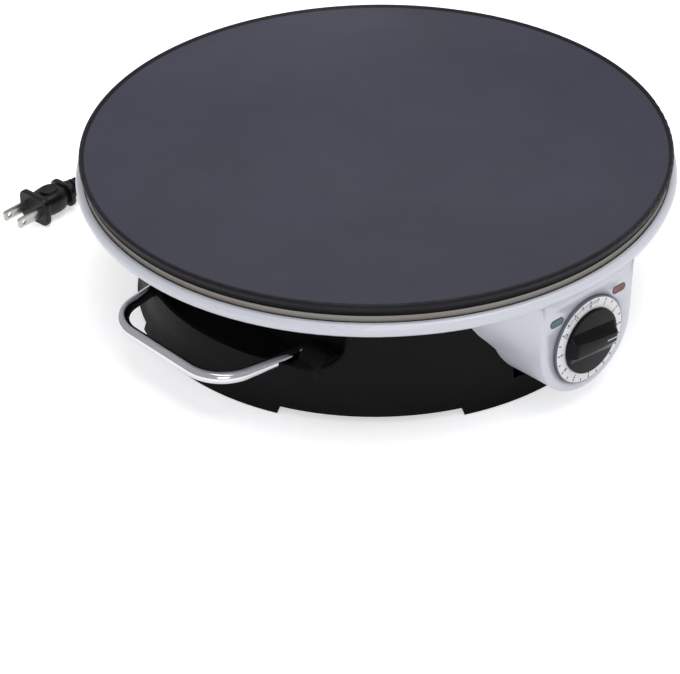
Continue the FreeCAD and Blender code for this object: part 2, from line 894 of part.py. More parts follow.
def pocket_shape(grow, low, back, half, corner):
    """Outline of a handle pocket seen from the side, run outwards along -X."""
    side = half + grow
    sill = low - grow
    radius = corner + grow
    slope = radius * (1 - math.sqrt(0.5))
    x = -(back - grow)
    top = floor_low + 1
    points = [V(x, -side, top), V(x, -side, sill + radius),
              (V(x, -side + slope, sill + slope), V(x, -side + radius, sill)),
              V(x, side - radius, sill),
              (V(x, side - slope, sill + slope), V(x, side, sill + radius)),
              V(x, side, top), V(x, -side, top)]
    return Part.Face(Part.Wire(edges_through(points))).extrude(V(-80, 0, 0))


def arm_offset(reach):
    """How far an arm lies from the handle's centre line at a distance from the base's axis."""
    share = (reach - pivot_reach) / (bar_reach - pivot_reach)
    return pivot_half + (bar_half - pivot_half) * share


def arm_groove(side):
    near = pivot_reach + groove_start
    far = pivot_reach + groove_end
    start = V(-near, side * arm_offset(near), pivot_height)
    end = V(-far, side * arm_offset(far), pivot_height)
    radius = handle_rod_radius + loose
    across = V(0, radius, 0)
    up = V(0, 0, 12)
    groove = rod_between(start, end, radius)
    above = Part.Face(Part.makePolygon([start - across, start + across, start + across + up,
                                        start - across + up, start - across])).extrude(end - start)
    return groove.fuse(above)


def pocket_walls():
    drum = drum_outer()
    shallow = pocket_shape(wall, pocket_sill, pocket_back, pocket_half, pocket_corner).common(drum)
    deep = pocket_shape(wall, pit_floor, pocket_back, pit_half, pit_corner).common(drum)
    walls = [shallow, deep]
    for side in (-1, 1):
        start = V(-pivot_reach, side * pivot_boss_start, pivot_height)
        end = V(-pivot_reach, side * pivot_boss_end, pivot_height)
        walls.append(rod_between(start, end, pivot_boss_radius))
    return walls


def pocket_cuts():
    inner_drum = revolved([rz(0, base_foot_high), rz(base_wall_radius - wall, base_foot_high),
                           rz(base_top_radius - wall, floor_low), rz(0, floor_low)])
    shallow = pocket_shape(0, pocket_sill, pocket_back, pocket_half, pocket_corner)
    for side in (-1, 1):
        start = V(-pivot_reach, side * (pivot_boss_start - 0.1), pivot_height)
        end = V(-pivot_reach, side * (pivot_boss_end + 0.1), pivot_height)
        shallow = shallow.cut(rod_between(start, end, pivot_boss_radius))
    deep = pocket_shape(0, pit_floor, pocket_back, pit_half, pit_corner)
    deep = deep.common(inner_drum)
    cuts = [shallow, deep]
    for side in (-1, 1):
        start = V(-pivot_reach, side * (pit_half - 2), pivot_height)
        end = V(-pivot_reach, side * (stub_half + 0.5), pivot_height)
        cuts.append(rod_between(start, end, handle_rod_radius + slip))
        cuts.append(arm_groove(side))
    return cuts


def foot_notch(angle):
    half = base_foot_radius * math.sin(math.radians(notch_angle))
    top = notch_height
    points = [V(0, -half - notch_slant / 2, -1), V(0, half + notch_slant / 2, -1),
              V(0, half - notch_slant / 2, top), V(0, -half + notch_slant / 2, top),
              V(0, -half - notch_slant / 2, -1)]
    face = Part.Face(Part.makePolygon([p + V(100, 0, 0) for p in points]))
    return turned(face.extrude(V(50, 0, 0)), angle)


def base_housing():
    ledge_low = cover_high
    ledge_high = cover_high + ledge_thickness
    shell = revolved([
        rz(base_foot_radius, base_foot_low), rz(base_wall_radius, base_foot_high),
        rz(base_top_radius, floor_low), rz(base_top_radius - wall, floor_low),
        rz(base_wall_radius - wall, ledge_high + 1.6), rz(ledge_radius, ledge_high),
        rz(ledge_radius, ledge_low), rz(cover_radius + 0.4, ledge_low),
        rz(base_foot_radius - wall, base_foot_low)])
    for i in range(4):
        shell = shell.cut(foot_notch(45 + 90 * i))
    window = block(-window_half_width, window_half_width, -base_foot_radius, -ledge_radius, window_low,
                   window_high)
    shell = shell.cut(window)
    walls = pocket_walls()
    walls = walls + [mirrored(shape) for shape in walls]
    posts = [cylinder(post_radius, ledge_low, floor_low, p.x, p.y) for p in post_places()]
    rib = block(post_circle, base_top_radius - 1, -post_rib / 2, post_rib / 2, ledge_low, floor_low)
    posts = posts + [turned(rib, 45 + 90 * i) for i in range(4)]
    whole = joined([shell] + walls + posts)
    for cut in pocket_cuts():
        whole = whole.cut(cut).cut(mirrored(cut))
    for p in post_places():
        whole = whole.cut(cylinder(screw_radius + 0.2, 0, plate_top, p.x, p.y))
    gland_hole = Part.makeCylinder(gland_root_radius + slip, 2 * gland_inner_reach,
                                   V(0, gland_inner_end, cord_height), Y_AXIS)
    return whole.cut(gland_hole).removeSplitter()


def bottom_cover():
    disc = cylinder(cover_radius, cover_low, cover_high)
    bed_low = cover_high
    bed_high = cord_height - cord_radius
    half = clamp_bed_width / 2
    bed = block(-half, half, clamp_bed_start, clamp_bed_start + clamp_bed_depth, bed_low, bed_high)
    whole = joined([disc, bed])
    for row in range(vent_rows):
        y = (row - (vent_rows - 1) / 2) * vent_pitch
        for x in (-vent_length / 2 - 6, vent_length / 2 + 6):
            slot = block(x - vent_length / 2, x + vent_length / 2, y - vent_width / 2, y + vent_width / 2,
                         cover_low - 1, cover_high + 1)
            whole = whole.cut(slot)
    for p in post_places():
        whole = whole.cut(cylinder(screw_radius + 0.2, 0, 20, p.x, p.y))
    for p in foot_places():
        whole = whole.cut(cylinder(foot_stem_radius + slip, 0, 20, p.x, p.y))
    for x in (-clamp_screw_offset, clamp_screw_offset):
        y = clamp_bed_start + clamp_bed_depth / 2
        whole = whole.cut(cylinder(clamp_screw_radius + slip, bed_high - 7, bed_high + 1, x, y))
    for x in (-block_screw_offset, block_screw_offset):
        y = block_front + block_depth / 2
        whole = whole.cut(cylinder(1.5 + slip, 0, 20, x, y))
    return whole


def housing_screws():
    low = cover_low - screw_head_height
    tip = floor_high
    return group([screw(p.x, p.y, low, screw_head_radius, screw_head_height, screw_radius, tip)
                  for p in post_places()])


def rubber_foot(place):
    pad = Part.makeCone(foot_radius - 1.0, foot_radius, 1.2, V(place.x, place.y, 0))
    body = cylinder(foot_radius, 1.2, cover_low, place.x, place.y)
    stem = cylinder(foot_stem_radius, cover_low, cover_high, place.x, place.y)
    lip = Part.makeCone(foot_stem_lip, foot_stem_radius - 0.6, foot_lip_height, V(place.x, place.y, cover_high))
    return joined([pad, body, stem, lip])


# Handles

def handle():
    points = [V(-pivot_reach, stub_half, pivot_height), V(-pivot_reach, pivot_half, pivot_height),
              V(-bar_reach, bar_half, pivot_height), V(-bar_reach, -bar_half, pivot_height),
              V(-pivot_reach, -pivot_half, pivot_height), V(-pivot_reach, -stub_half, pivot_height)]
    path, sizes = rounded_path(points, [pivot_bend, handle_corner, handle_corner, pivot_bend])
    return swept(path, handle_rod_radius)


# Wiring and cord entry

def terminal_block():
    half = block_width / 2
    body = block(-half, half, block_front, block_front + block_depth, cover_high, cover_high + block_height)
    for x in (-block_screw_offset, block_screw_offset):
        y = block_front + block_depth / 2
        body = body.cut(cylinder(1.7, 0, 40, x, y))
        body = body.cut(cylinder(3.2, cover_high + 6, 40, x, y))
    return body


def terminal_screws():
    shapes = []
    for x in (-block_screw_offset, block_screw_offset):
        y = block_front + block_depth / 2
        head = cylinder(2.8, cover_high + 6, cover_high + 8, x, y)
        shapes.append(joined([head, cylinder(1.5, cover_low + 0.2, cover_high + 6, x, y)]))
    return group(shapes)


def drum_reach(height):
    share = (height - base_foot_high) / (floor_low - base_foot_high)
    return base_wall_radius + (base_top_radius - base_wall_radius) * share


def gland_out():
    """The boot ends as far out at the back as the knob does at the front."""
    return knob_back() + knob_thickness + knob_grip_height


def cord_gland():
    outside = drum_reach(cord_height)
    root_radius = gland_root_radius + 1.0
    length = gland_out() - outside
    root = Part.makeCylinder(gland_root_radius, outside - gland_inner_end, V(0, gland_inner_end, cord_height), Y_AXIS)
    neck = Part.makeCylinder(gland_root_radius, 2 * gland_stand_off, V(0, outside - 0.2, cord_height), Y_AXIS)
    boot = Part.makeCone(root_radius, gland_tip_radius, length - gland_stand_off,
                         V(0, outside + gland_stand_off, cord_height), Y_AXIS)
    flange = Part.makeCylinder(gland_flange_radius, gland_flange, V(0, gland_inner_end, cord_height), Y_AXIS)
    whole = joined([root, neck, boot, flange])
    for i in range(gland_grooves):
        start = 7 + gland_groove_pitch * i
        taper = root_radius - (root_radius - gland_tip_radius) * start / length
        place = V(0, outside + start, cord_height)
        around = Part.makeCylinder(20, gland_groove_width, place, Y_AXIS)
        core = Part.makeCylinder(taper - gland_groove_depth, gland_groove_width, place, Y_AXIS)
        whole = whole.cut(around.cut(core))
    return whole


def cord_clamp():
    bed_high = cord_height - cord_radius
    half = clamp_bed_width / 2
    y = clamp_bed_start
    bar = block(-half, half, y, y + clamp_bed_depth, cord_height + cord_radius, cord_height + cord_radius
                + clamp_bar_thickness)
    legs = []
    for side in (-1, 1):
        inner = cord_radius + 0.6
        legs.append(block(min(side * inner, side * half), max(side * inner, side * half), y, y + clamp_bed_depth,
                          bed_high, cord_height + cord_radius))
    whole = joined([bar] + legs)
    for x in (-clamp_screw_offset, clamp_screw_offset):
        whole = whole.cut(cylinder(1.7, 0, 60, x, y + clamp_bed_depth / 2))
    return whole


def clamp_screws():
    shapes = []
    top = cord_height + cord_radius + clamp_bar_thickness
    y = clamp_bed_start + clamp_bed_depth / 2
    for x in (-clamp_screw_offset, clamp_screw_offset):
        head = cylinder(2.9, top, top + 1.8, x, y)
        shank = cylinder(clamp_screw_radius, cord_height - cord_radius - 6, top, x, y)
        shapes.append(joined([head, shank]))
    return group(shapes)


def cord_inner():
    start = V(0, block_front + block_depth, cord_height)
    return rod_between(start, V(0, gland_inner_end, cord_height), cord_radius)


def wire_run(points):
    path, sizes = rounded_path(points, share=0.4)
    return swept(path, wire_radius)


def wires():
    """Insulated wires from the block to the dial box and up to the element ends."""
    left = element_end(-1)
    right = element_end(1)
    step = wire_step
    tab_low = element_tip_height() - tab_length
    rise = cover_high + wire_radius + 0.4
    back = thermostat_depth + tab_length - thermostat_front
    high = cover_high + block_height * 0.6
    low_tab = dial_height - tab_offset_z
    high_tab = dial_height + tab_offset_z
    lamp_back = 1.0 - lens_seat() + lamp_length
    live = [V(-wire_pitch, block_front, high), V(-wire_pitch, block_front - step, high),
            V(-2 * wire_pitch, block_front - 3 * step, rise), V(-wire_bow, 0, rise),
            V(-2 * wire_pitch, back + 4 * step, rise), V(-tab_offset_x, back + 2 * step, low_tab - step),
            V(-tab_offset_x, back + step * 0.7, low_tab), V(-tab_offset_x, back, low_tab)]
    neutral = [V(wire_pitch, block_front, high), V(wire_pitch, block_front - step, high),
               V(2 * wire_pitch, block_front - 3 * step, rise), V(wire_bow, 0, rise),
               V(wire_bow, right.y + 3 * step, rise), V(right.x, right.y + step * 0.7, rise + 1.5 * step),
               V(right.x, right.y, tab_low - step), V(right.x, right.y, tab_low)]
    switched = [V(tab_offset_x, back, high_tab), V(tab_offset_x, back + step * 0.7, high_tab),
                V(0, back + 2 * step, high_tab - wire_pitch), V(left.x, left.y, tab_low - step),
                V(left.x, left.y, tab_low)]
    right_lamp = [V(lamp_offset, lamp_back, lamp_height), V(lamp_offset, lamp_back + step * 0.6, lamp_height),
                  V(lamp_offset - wire_pitch, lamp_back + step * 1.1, lamp_height)]
    left_lamp = [V(-point.x, point.y, point.z) for point in reversed(right_lamp)]
    return {"wire_live": live, "wire_neutral": neutral, "wire_switched": switched,
            "wire_lamps": right_lamp + left_lamp}


# Free cord, coil, tie and plug

def lead_points():
    end = V(coil_centre.x - coil_straight, coil_centre.y + coil_outer, coil_low)
    return [V(0, gland_out(), cord_height), V(0, 192.0, cord_height), V(3.5, 206.5, 13.5), V(11.5, 219.5, 8.2),
            V(23.0, 230.5, 4.9), V(38.0, end.y, coil_low), end]


def tail_points():
    start = V(coil_centre.x - coil_straight, coil_centre.y - coil_outer, coil_low + coil_rise)
    return [start, V(40.0, start.y, start.z), V(26.5, 152.9, 8.6), V(13.5, 157.0, 4.9), V(1.0, 164.0, cord_rest),
            V(-10.8, 174.2, cord_rest), V(-22.6, 184.8, 4.2), V(-34.2, 193.9, 6.9),
            plug_pivot() + plug_heading() * 12.4, plug_pivot()]


def cord_stretch(points, name):
    path, sizes = rounded_path(points)
    print(name, "arc radii", [round(size, 1) for size in sizes], "length", round(path.Length, 1))
    return swept(path, cord_radius)


def coil_point(turn):
    """Place on the coil after some turns, clockwise from its far side, seen from above."""
    climb = 0.5
    inner = coil_outer - coil_pitch * coil_side_turns
    if turn <= coil_side_turns:
        radius = coil_outer - coil_pitch * turn
        height = coil_low
    elif turn <= coil_side_turns + climb:
        share = (turn - coil_side_turns) / climb
        radius = inner
        height = coil_low + coil_rise * (1 - math.cos(math.pi * share)) / 2
    else:
        radius = inner + coil_pitch * (turn - coil_side_turns - climb)
        height = coil_low + coil_rise
    angle = math.pi / 2 - 2 * math.pi * turn
    return V(coil_centre.x + radius * math.cos(angle), coil_centre.y + radius * math.sin(angle), height)


def coil_heading(turn, total):
    if turn == 0:
        return V(1, 0, 0)
    if turn == total:
        return V(-1, 0, 0)
    heading = coil_point(turn + 0.01) - coil_point(turn - 0.01)
    heading.normalize()
    return heading


def arc_from_corner(start, corner, end):
    middle = (start + end) * 0.5
    toward = corner - middle
    half_chord = (end - start).Length / 2
    quarter = math.acos(min(1.0, half_chord / (corner - start).Length)) / 2
    toward.normalize()
    return Part.Arc(start, middle + toward * (half_chord * math.tan(quarter)), end).toShape()


def biarc(start, start_heading, end, end_heading):
    """Two tangent arcs between two places with given headings."""
    across = end - start
    both = start_heading + end_heading
    spread = 2 * (1 - start_heading.dot(end_heading))
    along = across.dot(both)
    reach = (math.sqrt(along * along + spread * across.dot(across)) - along) / spread
    first = start + start_heading * reach
    second = end - end_heading * reach
    meet = (first + second) * 0.5
    return [arc_from_corner(start, first, meet), arc_from_corner(meet, second, end)]


def coil_path():
    total = 2 * coil_side_turns + 0.5
    steps = int(round(total * 4))
    edges = [Part.LineSegment(coil_point(0) - V(coil_straight, 0, 0), coil_point(0)).toShape()]
    for i in range(steps):
        a = total * i / steps
        b = total * (i + 1) / steps
        edges += biarc(coil_point(a), coil_heading(a, total), coil_point(b), coil_heading(b, total))
    edges.append(Part.LineSegment(coil_point(total), coil_point(total) - V(coil_straight, 0, 0)).toShape())
    return Part.Wire(edges)


def least_coil_gap(path):
    points = path.discretize(Distance=2.0)
    step = path.Length / (len(points) - 1)
    skip = int(6 * cord_radius / step)
    least = 1e9
    for i in range(len(points)):
        for j in range(i + skip, len(points)):
            least = min(least, (points[i] - points[j]).Length)
    return least - 2 * cord_radius


def cord_coil():
    path = coil_path()
    print("coil length", round(path.Length, 1), "least gap", round(least_coil_gap(path), 2))
    tube = swept(path, cord_radius)
    ideal = math.pi * cord_radius ** 2 * path.Length
    print("coil volume over section times length", round(tube.Volume / ideal, 4))
    return tube


def cord_tie():
    """A strap round all the turns on the +X side of the coil."""
    inner = coil_centre.x + coil_outer - coil_pitch * coil_side_turns - cord_radius - tie_gap
    outer = coil_centre.x + coil_outer + cord_radius + tie_gap
    low = coil_low - cord_radius - tie_gap / 2
    high = coil_low + coil_rise + cord_radius + tie_gap
    half = tie_width / 2
    y = coil_centre.y
    strap = block(inner - tie_thickness, outer + tie_thickness, y - half, y + half,
                  low - tie_thickness, high + tie_thickness)
    return strap.cut(block(inner, outer, y - half - 1, y + half + 1, low, high))


def plug_pivot():
    """Middle of the relief's tip, where the cord enters and about which the plug is turned."""
    reach = plug_flange_thickness + plug_body_length + plug_rear_thickness + relief_length
    return V(plug_front + reach, plug_y, plug_height)


def plug_heading():
    angle = math.radians(plug_turn)
    return V(math.cos(angle), math.sin(angle), 0)


def rounded_slab(x_low, x_high, width, height, corner):
    slab = block(x_low, x_high, plug_y - width / 2, plug_y + width / 2,
                 plug_height - height / 2, plug_height + height / 2)
    return slab.makeFillet(corner, [e for e in slab.Edges if abs(e.tangentAt(0).x) > 0.9])


def plug_body():
    flange_end = plug_front + plug_flange_thickness
    body_end = flange_end + plug_body_length
    rear_end = body_end + plug_rear_thickness
    tip = rear_end + relief_length
    flange = rounded_slab(plug_front, flange_end, plug_flange_width, 2 * plug_height, 4.5)
    body = rounded_slab(flange_end, body_end, plug_body_width, plug_body_height, 5.0)
    rear = rounded_slab(body_end, rear_end, plug_rear_width, plug_rear_height, 4.5)
    core = Part.makeCone(relief_radius - 1.0, relief_tip_radius - 0.5, relief_length,
                         V(rear_end, plug_y, plug_height), X_AXIS)
    pieces = [flange, body, rear, core]
    step = relief_length / relief_ribs
    for i in range(relief_ribs):
        start = rear_end + step * i + step * 0.4
        radius = relief_radius + (relief_tip_radius - relief_radius) * (i + 0.5) / relief_ribs
        pieces.append(Part.makeCylinder(radius, step * 0.6, V(start, plug_y, plug_height), X_AXIS))
    whole = joined(pieces)
    for side in (-1, 1):
        whole = whole.cut(blade_slot(side))
    return turned(whole.common(block(plug_front, tip, 0, 400, 0, 60)), plug_turn, Z_AXIS, plug_pivot())


def blade_slot(side):
    y = plug_y + side * blade_pitch / 2
    return block(plug_front - 1, plug_front + 5, y - blade_thickness / 2, y + blade_thickness / 2,
                 plug_height - blade_width / 2, plug_height + blade_width / 2)


def plug_blades():
    blades = []
    for side in (-1, 1):
        y = plug_y + side * blade_pitch / 2
        blade = block(plug_front - blade_length, plug_front + 5, y - blade_thickness / 2, y + blade_thickness / 2,
                      plug_height - blade_width / 2, plug_height + blade_width / 2)
        tip_edges = [e for e in blade.Edges
                     if abs(e.tangentAt(0).y) > 0.9 and e.BoundBox.XMax < plug_front - blade_length + 0.1]
        blade = blade.makeFillet(1.6, tip_edges)
        hole = Part.makeCylinder(blade_hole_radius, 6, V(plug_front - blade_length + blade_hole_inset, y - 3,
                                 plug_height), Y_AXIS)
        blades.append(blade.cut(hole))
    return turned(group(blades), plug_turn, Z_AXIS, plug_pivot())


def write(name, shape):
    shape.exportStep("parts/" + name + ".step")
    solids = len(shape.Solids)
    note = "" if shape.isValid() and solids else "  CHECK"
    print(name, "solids", solids, "volume", round(shape.Volume, 1), note)


def main():
    os.makedirs("parts", exist_ok=True)
    left_handle = handle()
    lead = cord_stretch(lead_points(), "lead")
    tail = cord_stretch(tail_points(), "tail")
    nodes = {
        "cooking_plate": cooking_plate(),
        "heating_element": heating_element(),
        "element_tabs": element_tabs(),
        "element_straps": element_straps(),
        "strap_screws": strap_screws(),
        "heat_shield": heat_shield(),
        "plate_studs": plate_studs(),
        "stud_spacers": stud_spacers(),
        "plate_washers": plate_washers(),
        "plate_nuts": plate_nuts(),
        "thermal_fuse": thermal_fuse(),
        "fuse_bracket": fuse_bracket(),
        "upper_housing": upper_housing(),
        "dial_plate": dial_plate(),
        "dial_knob": dial_knob(),
        "knob_clip": knob_clip(),
        "thermostat_shaft": thermostat_shaft(),
        "thermostat_body": thermostat_body(),
        "thermostat_bracket": thermostat_bracket(),
        "bracket_screws": bracket_screws(),
        "lens_green": lens(-1),
        "lens_red": lens(1),
        "lamp_green": lamp(-1),
        "lamp_red": lamp(1),
        "lamp_retainers": lamp_retainers(),
        "base_housing": base_housing(),
        "bottom_cover": bottom_cover(),
        "housing_screws": housing_screws(),
        "handle_left": left_handle,
        "handle_right": mirrored(left_handle),
        "terminal_block": terminal_block(),
        "terminal_screws": terminal_screws(),
        "cord_gland": cord_gland(),
        "cord_clamp": cord_clamp(),
        "clamp_screws": clamp_screws(),
        "cord_inner": cord_inner(),
        "cord_lead": lead,
        "cord_coil": cord_coil(),
        "cord_tail": tail,
        "cord_tie": cord_tie(),
        "plug_body": plug_body(),
        "plug_blades": plug_blades(),
    }
    for name, place in zip(("foot_right", "foot_rear", "foot_left", "foot_front"), foot_places()):
        nodes[name] = rubber_foot(place)
    for name, points in wires().items():
        nodes[name] = wire_run(points)
    for name, shape in nodes.items():
        write(name, shape)


main()
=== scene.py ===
import math

import bmesh
import bpy
from bpy.props import FloatProperty, FloatVectorProperty, IntProperty, PointerProperty
from mathutils import Matrix, Vector


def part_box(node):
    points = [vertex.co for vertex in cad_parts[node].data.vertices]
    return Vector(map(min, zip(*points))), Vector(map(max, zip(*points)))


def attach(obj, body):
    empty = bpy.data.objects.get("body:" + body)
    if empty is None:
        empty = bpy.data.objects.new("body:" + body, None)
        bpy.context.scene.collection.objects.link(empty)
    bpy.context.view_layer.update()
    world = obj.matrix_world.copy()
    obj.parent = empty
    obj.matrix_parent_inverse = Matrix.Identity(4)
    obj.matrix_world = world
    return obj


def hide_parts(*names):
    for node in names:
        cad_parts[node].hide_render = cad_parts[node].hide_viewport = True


bl_info = {
    "name": "Electric crepe maker",
    "version": (1, 0, 0),
    "blender": (4, 5, 0),
    "location": "View3D > Sidebar > Crepe Maker",
    "description": "Dresses the packed crepe maker: finishes, dial, handles, plug and cord",
    "category": "Object",
}

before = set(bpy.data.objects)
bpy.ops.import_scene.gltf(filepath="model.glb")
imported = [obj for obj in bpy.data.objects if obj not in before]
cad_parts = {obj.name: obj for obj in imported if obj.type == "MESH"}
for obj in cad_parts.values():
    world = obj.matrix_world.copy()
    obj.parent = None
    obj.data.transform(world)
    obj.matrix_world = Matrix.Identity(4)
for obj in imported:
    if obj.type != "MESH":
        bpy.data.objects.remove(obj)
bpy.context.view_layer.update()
FINISHES = {}

# Places and sizes in millimetres, in the part's own frame; angles in degrees
DIAL_Z = 41.5
DIAL_Y = -163.5
DISC_RADIUS = 25.9
DISC_FRONT = 3.7
DISC_HOLE = 4.2
TICK_REACH = 24.0
HATCH_REACH = 23.2
NUMBER_REACH = 21.4
NUMBER_COUNT = 12
HATCH_COUNT = 42
HATCH_START = 48.0
HATCH_STEP = 1.5
HATCH_LEAN = 0.5
TYPE_PER_HEIGHT = 1.25
KNOB_GAP = 0.3
KNOB_DISC = 2.1
KNOB_GRIP = 4.6
KNOB_CROWN = 1.1
KNOB_POINT = -7
LAMP_SPREAD = 24.2
LAMP_Z = 62.8
PIVOT = Vector((106.0, 54.0, 29.0))
HANDLE_OUT = 162.0
HANDLE_HALF = 45.0
HANDLE_END = 72.0
HANDLE_BENDS = (5.0, 24.0, 24.0, 5.0)
FOOT_REACH = 124.0
SCREW_REACH = 122.0
BOOT_END = 178.9
CORD_Z = 18.0
PLUG_END = Vector((-58.3, 198.0, 9.2))
PLUG_LENGTH = 44.2
PLUG_TURN = 5.0
COIL = Vector((60.0, 194.0, 4.3))
COIL_RADIUS = 42.0
COIL_PITCH = 8.5
COIL_RISE = 7.0
COIL_TURNS = 1.5
CORD_LEAD = [(0, BOOT_END, CORD_Z), (0, 192.0, CORD_Z), (3.5, 206.5, 13.5), (11.5, 219.5, 8.2),
             (23.0, 230.5, 4.9), (38.0, 236.0, 4.3)]
CORD_TAIL = [(40.0, 152.0, 11.3), (26.5, 152.9, 8.6), (13.5, 157.0, 4.9), (1.0, 164.0, 3.3),
             (-10.8, 174.2, 3.3), (-22.6, 184.8, 4.2), (-34.2, 193.9, 6.9), (-45.95, 199.08, 9.2),
             (-58.3, 198.0, 9.2)]

# The photograph's camera: angles in radians, distance in metres, focal length and shifts in picture widths,
# sensor in millimetres
CAMERA_AZIMUTH = math.radians(43.0)
CAMERA_RISE = 0.57740
CAMERA_DISTANCE = 1.680
CAMERA_ROLL = -0.01149
CAMERA_FOCAL = 2878.68 / 680
CAMERA_SHIFT = (-0.05553, -0.07954)
SENSOR = 36.0

# Turns for pieces made flat: FACING sets X to the right, Y up and Z to the front; ALONG sets Z to the right
FACING = Matrix(((1, 0, 0, 0), (0, 0, -1, 0), (0, 1, 0, 0), (0, 0, 0, 1)))
ALONG = Matrix(((0, 0, 1, 0), (1, 0, 0, 0), (0, 1, 0, 0), (0, 0, 0, 1)))


# Shared making steps

def mm(x, y, z):
    """A place given in millimetres, in Blender's metres."""
    return Vector((x, y, z)) * 0.001


def shift(x, y, z):
    """A move given in millimetres, as a matrix."""
    return Matrix.Translation(mm(x, y, z))


def full_turn(count):
    """Evenly spaced angles of one whole turn."""
    return [2 * math.pi * k / count for k in range(count)]


def soft_outline(corners, steps=5):
    """Rounds the corners of a closed outline, each given as (x, y, radius)."""
    points = []
    count = len(corners)
    for i, (x, y, radius) in enumerate(corners):
        here = Vector((x, y))
        before = Vector(corners[i - 1][:2]) - here
        after = Vector(corners[(i + 1) % count][:2]) - here
        if radius <= 0 or before.length < 1e-6 or after.length < 1e-6:
            points.append((x, y))
            continue
        before.normalize()
        after.normalize()
        half = before.angle(after) / 2
        reach = radius / math.tan(half)
        middle = here + (before + after).normalized() * (radius / math.sin(half))
        start = here + before * reach - middle
        end = here + after * reach - middle
        turn = start.angle_signed(end)
        for k in range(steps + 1):
            share = turn * k / steps
            spoke = Matrix.Rotation(-share, 2) @ start
            points.append((middle.x + spoke.x, middle.y + spoke.y))
    return points


def skin(bm, rings, capped=False):
    """Joins rings of points into one surface, and closes its two ends where asked."""
    rows = [[bm.verts.new(point) for point in ring] for ring in rings]
    for a, b in zip(rows, rows[1:]):
        for i in range(len(a)):
            j = (i + 1) % len(a)
            bm.faces.new((a[i], a[j], b[j], b[i]))
    if capped:
        bm.faces.new(list(reversed(rows[0])))
        bm.faces.new(rows[-1])


def turn_profile(bm, profile, place, segments):
    """Turns a closed outline of (radius, height) round its axis."""
    skin(bm, [[place @ mm(radius * math.cos(angle), radius * math.sin(angle), height)
               for angle in full_turn(segments)] for radius, height in list(profile) + [profile[0]]])


def capsule_ring(length, width, height, steps=10):
    """A bar outline with round ends in the XY plane."""
    half = (length - width) / 2
    radius = width / 2
    ring = []
    for side in (1, -1):
        for k in range(steps + 1):
            angle = -math.pi / 2 + math.pi * k / steps
            x = side * (half + radius * math.cos(angle))
            y = side * radius * math.sin(angle)
            ring.append((x, y, height))
    return ring


def box_ring(width, depth, corner, height, steps=6):
    """A rectangle with rounded corners in the XY plane."""
    outline = soft_outline([(width / 2, -depth / 2, corner), (width / 2, depth / 2, corner),
                            (-width / 2, depth / 2, corner), (-width / 2, -depth / 2, corner)], steps)
    return [(x, y, height) for x, y in outline]


def placed(ring, place):
    """Moves a ring of points in millimetres to its place, in metres."""
    return [place @ mm(*point) for point in ring]


def rounded_line(points, radii, steps=16):
    """A line of straight runs whose corners are turned on the given radii."""
    line = [points[0]]
    for i in range(1, len(points) - 1):
        before = (points[i - 1] - points[i]).normalized()
        after = (points[i + 1] - points[i]).normalized()
        half = before.angle(after) / 2
        radius = radii[i - 1]
        middle = points[i] + (before + after).normalized() * (radius / math.sin(half))
        start = points[i] + before * (radius / math.tan(half)) - middle
        end = points[i] + after * (radius / math.tan(half)) - middle
        axis = start.cross(end).normalized()
        turn = start.angle(end)
        for k in range(steps + 1):
            line.append(middle + Matrix.Rotation(turn * k / steps, 3, axis) @ start)
    line.append(points[-1])
    return line


def rod_rings(line, radii, sides):
    """Rings of a round bar along a line, with its radius given at each point."""
    rings = []
    heading = (line[1] - line[0]).normalized()
    across = heading.orthogonal().normalized()
    for i, point in enumerate(line):
        if 0 < i < len(line) - 1:
            new = ((line[i + 1] - point).normalized() + (point - line[i - 1]).normalized()).normalized()
        else:
            new = (line[-1] - line[-2]).normalized() if i else heading
        across = (across - new * across.dot(new)).normalized()
        up = new.cross(across)
        rings.append([(point + (across * math.cos(angle) + up * math.sin(angle)) * radii[i]) * 0.001
                      for angle in full_turn(sides)])
    return rings


def painted(mesh, finish):
    """Gives a mesh one finish in place of those it has."""
    mesh.materials.clear()
    mesh.materials.append(FINISHES[finish])
    return mesh


def mesh_from(bm, name, outward=True, finish=None):
    """Closes the seams of a shape, turns its faces outwards where asked and makes it a mesh."""
    bmesh.ops.remove_doubles(bm, verts=bm.verts, dist=1e-6)
    bmesh.ops.dissolve_degenerate(bm, edges=bm.edges, dist=1e-7)
    if outward:
        bmesh.ops.recalc_face_normals(bm, faces=bm.faces)
    mesh = bpy.data.meshes.new(name)
    bm.to_mesh(mesh)
    bm.free()
    return painted(mesh, finish) if finish else mesh


def lofted(rings, name, finish=None, capped=True):
    """A mesh skinned over rings."""
    bm = bmesh.new()
    skin(bm, rings, capped)
    return mesh_from(bm, name, finish=finish)


def turned(profile, name, place=Matrix(), segments=64, finish=None):
    """A mesh turned from a closed outline."""
    bm = bmesh.new()
    turn_profile(bm, profile, place, segments)
    return mesh_from(bm, name, finish=finish)


def new_object(name, data):
    """An object for some data, put in the scene."""
    item = bpy.data.objects.new(name, data)
    bpy.context.scene.collection.objects.link(item)
    return item


def finished(mesh, name, body, finish, nodes=(), angle=32.0):
    """Smooths a mesh between its sharp edges and makes it a piece that rides on a body."""
    mesh.name = name
    mesh.shade_smooth()
    mesh.set_sharp_from_angle(angle=math.radians(angle))
    if finish:
        painted(mesh, finish)
    piece = new_object(name, mesh)
    if nodes:
        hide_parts(*nodes)
    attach(piece, body)
    return piece


def from_frame(node, name, body, finish):
    """Makes a welded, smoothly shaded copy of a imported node."""
    bm = bmesh.new()
    bm.from_mesh(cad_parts[node].data)
    finished(mesh_from(bm, name, outward=False), name, body, finish, (node,))


def settled(scratch):
    """The mesh that an object has once its modifiers are worked out; the object goes."""
    graph = bpy.context.evaluated_depsgraph_get()
    graph.update()
    mesh = bpy.data.meshes.new_from_object(scratch.evaluated_get(graph))
    scratch.modifiers.clear()
    bpy.data.objects.remove(scratch)
    return mesh


